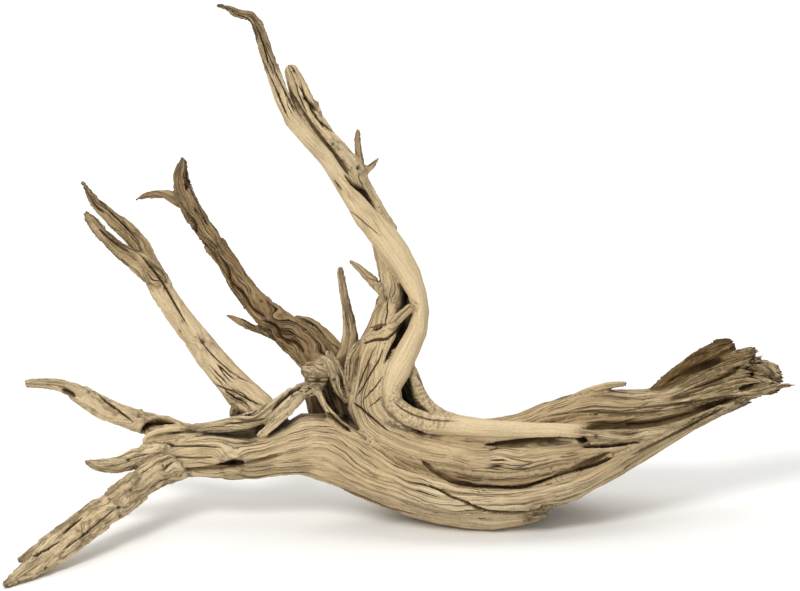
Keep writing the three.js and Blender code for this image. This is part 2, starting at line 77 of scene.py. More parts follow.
# The limbs, in the plane of the branches. Each station is [x, y, z, half-width in the plane,
# half-width in depth], in millimetres.
LIMBS = {
    "ribbon": [
      [-260, -70, 520, 1.5, 1.5], [-249, -69, 517, 2.5, 2.5], [-237, -68, 511, 4, 4],
      [-225, -66, 508, 5.5, 5], [-219, -64, 496, 6.5, 6.5], [-213, -60, 476, 7, 7.5],
      [-205, -56, 454, 7.5, 8], [-198, -52, 435, 8, 9], [-190, -47, 413, 8, 10],
      [-172, -42, 391, 8, 11], [-151, -36, 368, 8.5, 12], [-138, -31, 349, 9.5, 13],
      [-124, -26, 328, 11, 14], [-108, -22, 307, 14, 15], [-91, -18, 287, 14, 15],
      [-77, -16, 267, 13, 15], [-66, -16, 245, 10.5, 14], [-60, -17, 225, 9, 13],
      [-61, -20, 204, 10, 13], [-71, -24, 182, 11.5, 13], [-81, -28, 162, 13, 13],
      [-89, -31, 142, 10, 12], [-85, -32, 125, 10, 12], [-68, -32, 113, 10, 12],
      [-43, -31, 106, 10.5, 13], [-10, -30, 103, 10, 13], [30, -28, 100, 9.5, 13],
      [70, -25, 99, 9, 13], [110, -20, 97, 9, 12], [150, -14, 94, 9, 12], [185, -8, 98, 8, 10],
      [220, -2, 110, 6, 8],
    ],
    "inner_stem": [
      [-102, -8, 292, 7, 9], [-96, -4, 272, 9, 12], [-89, 0, 252, 11.5, 15], [-86, 2, 233, 14, 17],
      [-91, 3, 214, 17, 19], [-97, 3, 193, 20, 22], [-106, 2, 172, 21, 24], [-113, 0, 150, 19, 26],
      [-118, -2, 128, 17, 28], [-108, -2, 106, 20, 32], [-80, 0, 88, 24, 36], [-35, 0, 77, 24, 40],
      [15, 0, 70, 25, 42], [65, 2, 72, 22, 40], [115, 4, 80, 16, 34], [160, 6, 89, 13, 26],
      [210, 6, 108, 10, 18], [255, 5, 128, 6, 10],
    ],
    "arm": [
      [-330, -8, 72, 13, 14], [-305, -6, 74, 20, 18], [-270, -4, 75, 23, 22],
      [-230, -3, 72, 22, 24], [-195, -4, 80, 25, 28], [-162, -6, 86, 33, 32],
      [-128, -8, 72, 30, 36], [-88, -12, 52, 24, 38], [-40, -14, 36, 20, 40], [15, -12, 31, 18, 40],
      [70, -8, 38, 17, 38], [120, -4, 59, 14, 32], [170, 0, 84, 10, 24], [220, 4, 111, 7, 16],
      [271, 5, 129, 3, 5],
    ],
    "face": [
      [-95, -6, 74, 16, 26], [-55, -8, 56, 17, 32], [-10, -8, 49, 16, 34], [40, -6, 49, 15, 33],
      [90, -4, 60, 14, 29], [135, 0, 78, 11, 22], [175, 4, 96, 8, 14],
    ],
    "shoulder": [
      [-60, -12, 94, 8, 16], [-25, -14, 92, 9, 20], [20, -14, 90, 9, 22], [60, -9, 93, 9, 23],
      [100, 0, 103, 10, 22], [140, 2, 106, 10, 20], [180, 4, 110, 9, 17], [225, 6, 122, 8, 12],
    ],
    "core": [
      [30, 6, 86, 10, 26], [65, 6, 88, 11, 30], [95, 6, 92, 12, 30], [120, 6, 96, 11, 28],
      [150, 8, 100, 8, 18],
    ],
    "keel": [
      [-190, 8, 66, 8, 14], [-155, 10, 58, 10, 20], [-115, 10, 45, 14, 26], [-75, 8, 31, 15, 30],
      [-32, 4, 20, 16, 32], [10, 0, 14, 15, 32], [45, 0, 15, 9, 26], [65, 0, 19, 5, 16],
    ],
    "crest": [
      [-40, 14, 103, 8, 20], [0, 20, 99, 11, 28], [40, 24, 103, 13, 32], [75, 26, 113, 17, 34],
      [115, 26, 121, 20, 34], [155, 24, 121, 20, 32], [190, 20, 125, 18, 28],
      [220, 16, 136, 20, 26], [255, 12, 150, 22, 24], [283, 8, 152, 20, 20], [299, 6, 148, 13, 13],
    ],
    "back": [
      [-130, 28, 110, 20, 18], [-90, 38, 92, 32, 24], [-40, 44, 76, 34, 28], [15, 46, 73, 36, 30],
      [70, 42, 82, 34, 28], [125, 34, 96, 26, 24], [180, 24, 115, 18, 18], [225, 16, 132, 11, 12],
    ],
    "stub_strand": [
      [-189, -38, 460, 6, 5], [-183, -38, 444, 9.5, 8], [-175, -36, 423, 11.5, 10],
      [-162, -32, 401, 10.5, 11], [-143, -27, 379, 10.5, 12], [-127, -22, 359, 10.5, 12],
      [-115, -17, 340, 9, 12], [-103, -13, 320, 8, 12], [-90, -10, 298, 8, 11],
    ],
    "back_rib": [
      [-84, 2, 285, 7, 7], [-76, 6, 262, 9, 8], [-67, 7, 240, 9, 9], [-66, 6, 218, 9, 9],
      [-74, 8, 190, 11, 10], [-77, 14, 160, 13, 11], [-76, 20, 132, 15, 12], [-70, 28, 105, 20, 14],
    ],
    "left_branch": [
      [-186, -6, 76, 12, 14], [-196, -2, 94, 14, 14], [-210, 2, 111, 16, 15],
      [-228, 6, 127, 18, 16], [-247, 8, 146, 15.5, 15], [-266, 8, 168, 14.5, 14],
      [-284, 6, 192, 13.5, 13], [-302, 4, 216, 12.5, 12], [-318, 2, 239, 12.5, 12],
      [-329, 0, 257, 12.5, 12], [-342, -4, 268, 11, 10], [-357, -8, 278, 8.5, 8],
      [-370, -12, 290, 6.5, 6], [-381, -15, 301, 6.5, 6], [-389, -18, 311, 5, 5],
      [-393, -19, 317, 2, 2.5],
    ],
    "left_tine": [
      [-324, 4, 256, 9, 9], [-333, 10, 272, 9, 9], [-343, 14, 288, 8.5, 8.5], [-356, 18, 301, 8, 8],
      [-371, 22, 314, 7.5, 7], [-384, 24, 325, 6.5, 6], [-391, 25, 334, 4.5, 5],
      [-395, 25, 341, 3, 3], [-400, 26, 348, 2.5, 3],
    ],
    "rear_branch": [
      [-303, 110, 376, 2, 2], [-304, 108, 367, 6, 5], [-305, 105, 355, 9, 7],
      [-302, 101, 343, 9.5, 8], [-295, 96, 327, 10.5, 10], [-285, 90, 310, 10.5, 10],
      [-272, 84, 290, 10.5, 10], [-256, 77, 270, 11, 11], [-243, 70, 247, 11.5, 11],
      [-226, 62, 227, 13.5, 12], [-207, 54, 209, 15.5, 14], [-187, 46, 192, 18, 16],
      [-171, 38, 178, 19, 18], [-157, 30, 159, 17, 18], [-144, 20, 138, 16, 20],
      [-128, 12, 114, 16, 22],
    ],
    "fan_edge": [
      [-86, -4, 232, 7, 8], [-88, -10, 214, 8, 9], [-91, -14, 198, 9, 9], [-94, -17, 182, 9, 10],
      [-97, -19, 164, 10, 12], [-98, -20, 146, 11, 13], [-97, -20, 128, 11, 13],
      [-88, -18, 112, 11, 14], [-66, -14, 99, 10, 14],
    ],
    "collar": [
      [-331, -9, 87, 7, 9], [-312, -6, 88, 11, 13], [-286, -2, 87, 13, 15], [-258, 0, 88, 12, 14],
    ],
    "hollow_back": [
      [-82, 12, 160, 9, 9], [-70, 14, 136, 12, 10], [-56, 14, 116, 13, 12], [-36, 14, 102, 10, 12],
    ],
    "back_ridge": [
      [-110, 44, 116, 8, 10], [-60, 62, 100, 10, 12], [0, 72, 90, 11, 12], [60, 68, 92, 11, 12],
      [120, 56, 104, 10, 11], [175, 42, 118, 8, 10], [220, 28, 134, 6, 8],
    ],
    "back_ledge": [
      [-95, 56, 66, 9, 12], [-40, 70, 52, 11, 12], [20, 76, 50, 12, 12], [75, 68, 62, 11, 12],
      [125, 54, 80, 9, 10],
    ],
    "back_stub": [[56, 66, 82, 13, 13], [70, 82, 92, 10, 10], [80, 94, 100, 7, 7]],
    "rear_lobe": [
      [-186, 60, 210, 4, 4], [-171, 56, 202, 9, 8], [-156, 48, 188, 10, 10],
      [-142, 40, 174, 10, 12], [-130, 28, 158, 12, 14],
    ],
    "rear_foot": [
      [-160, 34, 168, 13, 13], [-166, 30, 146, 11, 12], [-164, 24, 124, 10, 12],
      [-152, 12, 98, 14, 16],
    ],
    "cradle": [
      [-292, 4, 94, 7, 10], [-262, 6, 97, 8, 12], [-236, 6, 97, 9, 12], [-212, 2, 96, 10, 12],
      [-188, -2, 90, 10, 12],
    ],
    "claw_root": [
      [-452, -20, 147, 3.5, 3], [-434, -16, 147, 4.5, 4], [-415, -10, 144, 6, 6],
      [-397, -4, 134, 10, 9], [-377, 2, 122, 12, 11], [-357, 8, 113, 11.5, 12],
      [-335, 14, 106, 12, 13], [-312, 16, 100, 13, 15], [-285, 12, 90, 14, 16],
    ],
    "foot_root": [
      [-460, -154, -44, 2.5, 3], [-447, -141, -36, 6.5, 6], [-430, -124, -24, 11, 10],
      [-412, -107, -9, 14.5, 13], [-393, -90, 5, 14.5, 14], [-374, -73, 19, 14.5, 14],
      [-354, -56, 32, 14, 14], [-337, -40, 47, 15, 14], [-320, -22, 60, 17, 15],
      [-298, -8, 67, 16, 14], [-274, -3, 71, 10, 10],
    ],
    "heel": [[-60, 40, 60, 22, 20], [-30, 66, 46, 20, 18], [-8, 86, 40, 15, 14], [2, 96, 36, 8, 8]],
    "crossing_limb": [
      [-296, -10, 103, 2.5, 3], [-273, -14, 103, 4.5, 5], [-248, -18, 106, 6.5, 7],
      [-226, -22, 111, 8, 8], [-209, -24, 118, 8.5, 8], [-196, -24, 127, 9.5, 9],
      [-183, -22, 136, 8.5, 9], [-170, -20, 142, 8.5, 9], [-160, -16, 150, 9, 10],
    ],
    "flare_corner": [
      [205, 14, 142, 10, 14], [240, 8, 160, 13, 14], [265, 4, 172, 11, 12], [277, 2, 177, 7, 9],
    ],
    "flare_lobe": [
      [175, 20, 137, 6, 14], [200, 18, 154, 10, 14], [222, 14, 168, 13, 13], [240, 10, 179, 12, 11],
      [252, 8, 186, 7, 8],
    ],
    "twig_root": [
      [-140, 10, 262, 2.5, 3], [-138, 11, 248, 4.5, 4], [-135, 12, 230, 4.5, 4.5],
      [-132, 12, 214, 5.5, 5.5], [-130, 10, 199, 7.5, 8], [-130, 8, 185, 10, 10],
      [-135, 12, 170, 12, 12], [-135, 10, 152, 12, 14],
    ],
    "fold_chip": [
      [-96, -8, 200, 6, 8], [-86, -18, 208, 6, 7], [-77, -26, 216, 5, 5], [-69, -29, 223, 4.5, 4],
    ],
    "fan_fold": [
      [-116, -5, 189, 4, 6], [-105, -11, 195, 5, 7], [-93, -16, 199, 5, 7], [-83, -19, 207, 4, 6],
    ],
    "left_spur": [[-232, 6, 132, 10, 10], [-244, 4, 121, 6.5, 7], [-248, 2, 114, 3.5, 4]],
    "rear_twig": [
      [-351, 112, 333, 1.5, 2], [-340, 110, 337, 3.5, 3.5], [-327, 107, 339, 4.5, 4.5],
      [-313, 103, 336, 6, 6], [-300, 99, 328, 7, 7],
    ],
    "rear_spike": [
      [-257, 72, 214, 1.5, 2], [-245, 70, 209, 4, 3.5], [-229, 66, 201, 4.5, 4.5],
      [-210, 60, 196, 6, 6], [-191, 52, 186, 7, 7],
    ],
    "stem_spike": [
      [-130, -4, 268, 1.5, 2], [-121, -4, 261, 3.5, 3.5], [-110, -2, 250, 5, 5],
      [-99, 0, 240, 6, 6], [-90, 2, 233, 5, 5],
    ],
    "stem_twig": [
      [-122, -14, 399, 2.5, 2.5], [-123, -15, 387, 4, 4], [-121, -17, 373, 4, 4],
      [-118, -18, 359, 5, 5],
    ],
    "stem_thorn": [[-101, -10, 372, 1.2, 1.5], [-108, -13, 365, 3, 3], [-116, -16, 357, 5, 5]],
    "stub_root": [
      [-391, -40, 70, 2, 2], [-381, -38, 67, 6, 5], [-367, -34, 66, 8, 7], [-352, -28, 69, 9, 9],
      [-337, -20, 74, 12, 11], [-315, -10, 77, 14, 13],
    ],
    "foot_lobe": [
      [-448, -124, -22, 4, 4], [-436, -116, -16, 7, 7], [-420, -103, -7, 9, 8],
      [-402, -90, 7, 8, 8],
    ],
    "limb_leg": [
      [-180, -24, 134, 7, 7], [-190, -27, 123, 6, 6], [-201, -28, 111, 4.5, 5],
      [-211, -25, 102, 4, 5], [-219, -19, 95, 4, 5],
    ],
    "knob": [[-174, -14, 160, 9, 11], [-162, -16, 160, 12, 13], [-150, -14, 158, 10, 11]],
    "knob_eye": [[-170, -22, 150, 6, 7], [-162, -24, 149, 8, 8], [-155, -22, 149, 6, 7]],
    "tongue": [
      [-150, -10, 178, 4, 5], [-148, -16, 168, 6.5, 7], [-143, -21, 156, 8, 8],
      [-140, -22, 145, 8.5, 8], [-134, -18, 134, 5, 6], [-124, -12, 126, 4, 5],
    ],
    "tongue_fold": [
      [-122, -10, 184, 5, 7], [-129, -17, 170, 5, 6], [-131, -20, 156, 4.5, 6],
      [-132, -19, 143, 4, 5],
    ],
    "tongue_chip": [
      [-159, -12, 169, 4, 5], [-153, -20, 170, 4.5, 4.5], [-147, -27, 162, 3.5, 4],
      [-146, -28, 151, 2.5, 3],
    ],
    "strap": [
      [-163, -18, 144, 4, 6], [-159, -22, 133, 4, 6], [-152, -25, 120, 4.5, 6],
      [-141, -27, 108, 5, 6], [-126, -28, 97, 5, 6], [-108, -27, 87, 4, 5],
      [-92, -24, 79, 2.5, 3.5],
    ],
    "buttress": [
      [-70, -20, 162, 6.5, 9], [-65, -17, 150, 7, 10], [-61, -14, 136, 8, 11],
      [-53, -12, 123, 8.5, 13], [-37, -9, 113, 8, 14], [-12, -3, 107, 6.5, 15], [15, 6, 104, 6, 14],
    ],
    "end_spike": [
      [235, 0, 132, 6, 8], [270, -4, 137, 6, 7], [296, -8, 143, 4.5, 5], [312, -10, 145, 3, 3],
    ],
    "slot_rim": [
      [-334, -14, 86, 3, 5], [-333, -15, 93, 3, 5], [-325, -16, 98, 3, 6], [-313, -16, 101, 3, 6],
      [-299, -13, 102, 2.5, 5],
    ],
    "foot_plank": [
      [-378, -76, 31, 4, 5], [-398, -90, 16, 5, 6], [-409, -100, 8, 4.5, 5],
      [-415, -105, 4, 3.5, 3],
    ],
    "foot_chip": [
      [-344, -46, 54, 6, 6], [-355, -55, 47, 4, 4], [-363, -62, 43, 3, 3],
      [-370, -67, 40, 1.5, 1.5],
    ],
    "belly_chip": [
      [30, -14, 22, 6, 10], [50, -20, 17, 5, 7], [62, -22, 16, 3.5, 5], [67, -22, 17, 2, 3],
    ],
    "stub_chip": [[-156, -28, 398, 5, 6], [-163, -34, 414, 5.5, 6], [-164, -35, 426, 3.5, 4]],
    "sliver": [[92, 8, 131, 3, 5], [112, 8, 139, 4, 6], [130, 8, 144, 3.5, 5], [146, 8, 146, 2, 3]],
}

# How the wood of some limbs differs from the rest, where 0 is none and 1 is a lot: how pale and
# smooth it is, how brown it is, how much its fibres wander, how cracked it is, and how rough.
NATURE = ("pale", "brown", "wander", "cracked", "rough")
CHARACTER = {
    "ribbon": (0.9, 0.0, 0.15, 0.0, 0.0),
    "buttress": (0.8, 0.0, 0.1, 0.0, 0.0),
    "slot_rim": (1.0, 0.0, 0.0, 0.0, 0.0),
    "stub_strand": (0.65, 0.0, 0.4, 0.5, 0.7),
    "stub_chip": (0.4, 0.1, 0.4, 0.6, 0.8),
    "stem_twig": (0.0, 0.6, 0.3, 0.4, 0.5),
    "stem_thorn": (0.0, 0.4, 0.3, 0.4, 0.5),
    "stem_spike": (0.1, 0.3, 0.4, 0.4, 0.5),
    "twig_root": (0.0, 0.45, 0.6, 0.6, 0.7),
    "rear_branch": (0.0, 0.85, 0.9, 0.8, 0.8),
    "rear_lobe": (0.0, 0.8, 0.8, 0.7, 0.8),
    "rear_foot": (0.0, 0.9, 0.5, 0.5, 0.6),
    "rear_spike": (0.0, 0.8, 0.5, 0.5, 0.6),
    "rear_twig": (0.0, 0.8, 0.5, 0.5, 0.6),
    "left_branch": (0.8, 0.0, 0.35, 0.1, 0.6),
    "left_tine": (0.0, 0.55, 0.3, 0.6, 0.8),
    "foot_root": (0.65, 0.0, 0.35, 0.3, 1.5),
    "foot_lobe": (0.2, 0.15, 0.5, 0.5, 1.0),
    "foot_plank": (0.3, 0.1, 0.4, 0.5, 0.9),
    "foot_chip": (0.1, 0.2, 0.5, 0.5, 0.9),
    "stub_root": (0.45, 0.05, 0.4, 0.5, 1.2),
    "claw_root": (0.75, 0.0, 0.4, 0.15, 0.9),
    "crossing_limb": (0.3, 0.1, 0.6, 0.5, 0.7),
    "limb_leg": (0.4, 0.0, 0.4, 0.5, 0.6),
    "face": (0.05, 0.75, 0.3, 0.4, 0.35),
    "shoulder": (0.05, 0.75, 0.3, 0.4, 0.35),
    "keel": (0.6, 0.0, 0.3, 0.2, 0.3),
    "inner_stem": (0.35, 0.12, 0.35, 0.3, 0.3),
    "fan_edge": (0.65, 0.0, 0.3, 0.1, 0.2),
    "crest": (0.1, 0.35, 0.3, 0.4, 0.4),
    "flare_corner": (0.0, 0.8, 0.4, 0.6, 1.0),
    "flare_lobe": (0.0, 1.2, 0.3, 0.6, 1.0),
    "end_spike": (0.0, 0.4, 0.3, 0.5, 0.8),
    "knob": (0.2, 0.3, 1.0, 0.8, 1.0),
    "knob_eye": (0.2, 0.5, 1.0, 0.8, 1.0),
    "tongue": (0.2, 0.35, 0.9, 0.8, 0.9),
    "tongue_fold": (0.2, 0.35, 0.9, 0.8, 0.8),
    "tongue_chip": (0.4, 0.1, 0.6, 0.4, 0.6),
}
USUAL_CHARACTER = (0.25, 0.15, 0.4, 0.35, 0.35)

# Places where a limb changes along its length: the limbs, discs as [x, z, radius] in millimetres
# in the plane of the branches, and the character that the wood has there.
PATCHES = {
    "weathered_top": (("ribbon",), [
      [-256, 518, 12], [-238, 511, 14], [-222, 500, 16], [-214, 478, 18], [-207, 462, 10],
    ], (0.0, 0.45, 0.5, 0.6, 0.9)),
    "stem_top": (("ribbon",), [
      [-200, 442, 10], [-188, 412, 12], [-160, 378, 14], [-132, 340, 16], [-108, 308, 14],
    ], (0.6, 0.0, 0.3, 0.15, 0.3)),
    "branch_tip": (("left_branch",), [
      [-388, 308, 18], [-368, 290, 16], [-352, 277, 12],
    ], (0.0, 0.5, 0.4, 0.6, 0.8)),
    "flare": (("crest", "end_spike", "arm", "back"), [
      [215, 128, 26], [245, 140, 34], [280, 150, 30],
    ], (0.1, 0.35, 0.4, 0.5, 1.2)),
    "tine_fork": (("left_branch", "left_tine"), [[-328, 256, 14]], (0.1, 0.4, 0.7, 0.8, 0.8)),
    "branch_foot": (("left_branch", "left_spur"), [[-246, 125, 14]], (0.2, 0.2, 1.0, 0.6, 1.0)),
    "trunk_end": (("arm", "collar", "foot_root"), [[-322, 66, 22]], (0.2, 0.15, 1.0, 0.6, 0.9)),
    # painted shade: the lower part of the trunk is made browner
    "trunk_shade": (("inner_stem", "arm"), [
      [0, 62, 26], [50, 60, 30], [100, 66, 30], [150, 86, 24],
    ], (0.15, 0.3, 0.4, 0.35, 0.3)),
    "ribbon_end": (("ribbon",), [
      [110, 97, 14], [150, 94, 26], [190, 98, 24], [220, 110, 20],
    ], (0.2, 0.25, 0.4, 0.5, 0.8)),
    "belly_end": (("keel", "belly_chip", "arm"), [[58, 16, 14]], (0.1, 0.5, 0.6, 0.8, 1.0)),
}

# Where the wood is gathered into fine wrinkles across its fibres, as [x, z, radius].
WRINKLES = [
    [-58, 150, 14], [-56, 128, 16], [-42, 116, 14], [-84, 128, 12], [-78, 114, 14], [-60, 108, 12],
]

# Limbs that several wounds run over.
FAN = ("inner_stem", "fan_edge")
STUB = ("stub_strand", "stub_chip")
FRONT = ("face", "arm", "inner_stem")
TRUNK_END = ("arm", "collar")
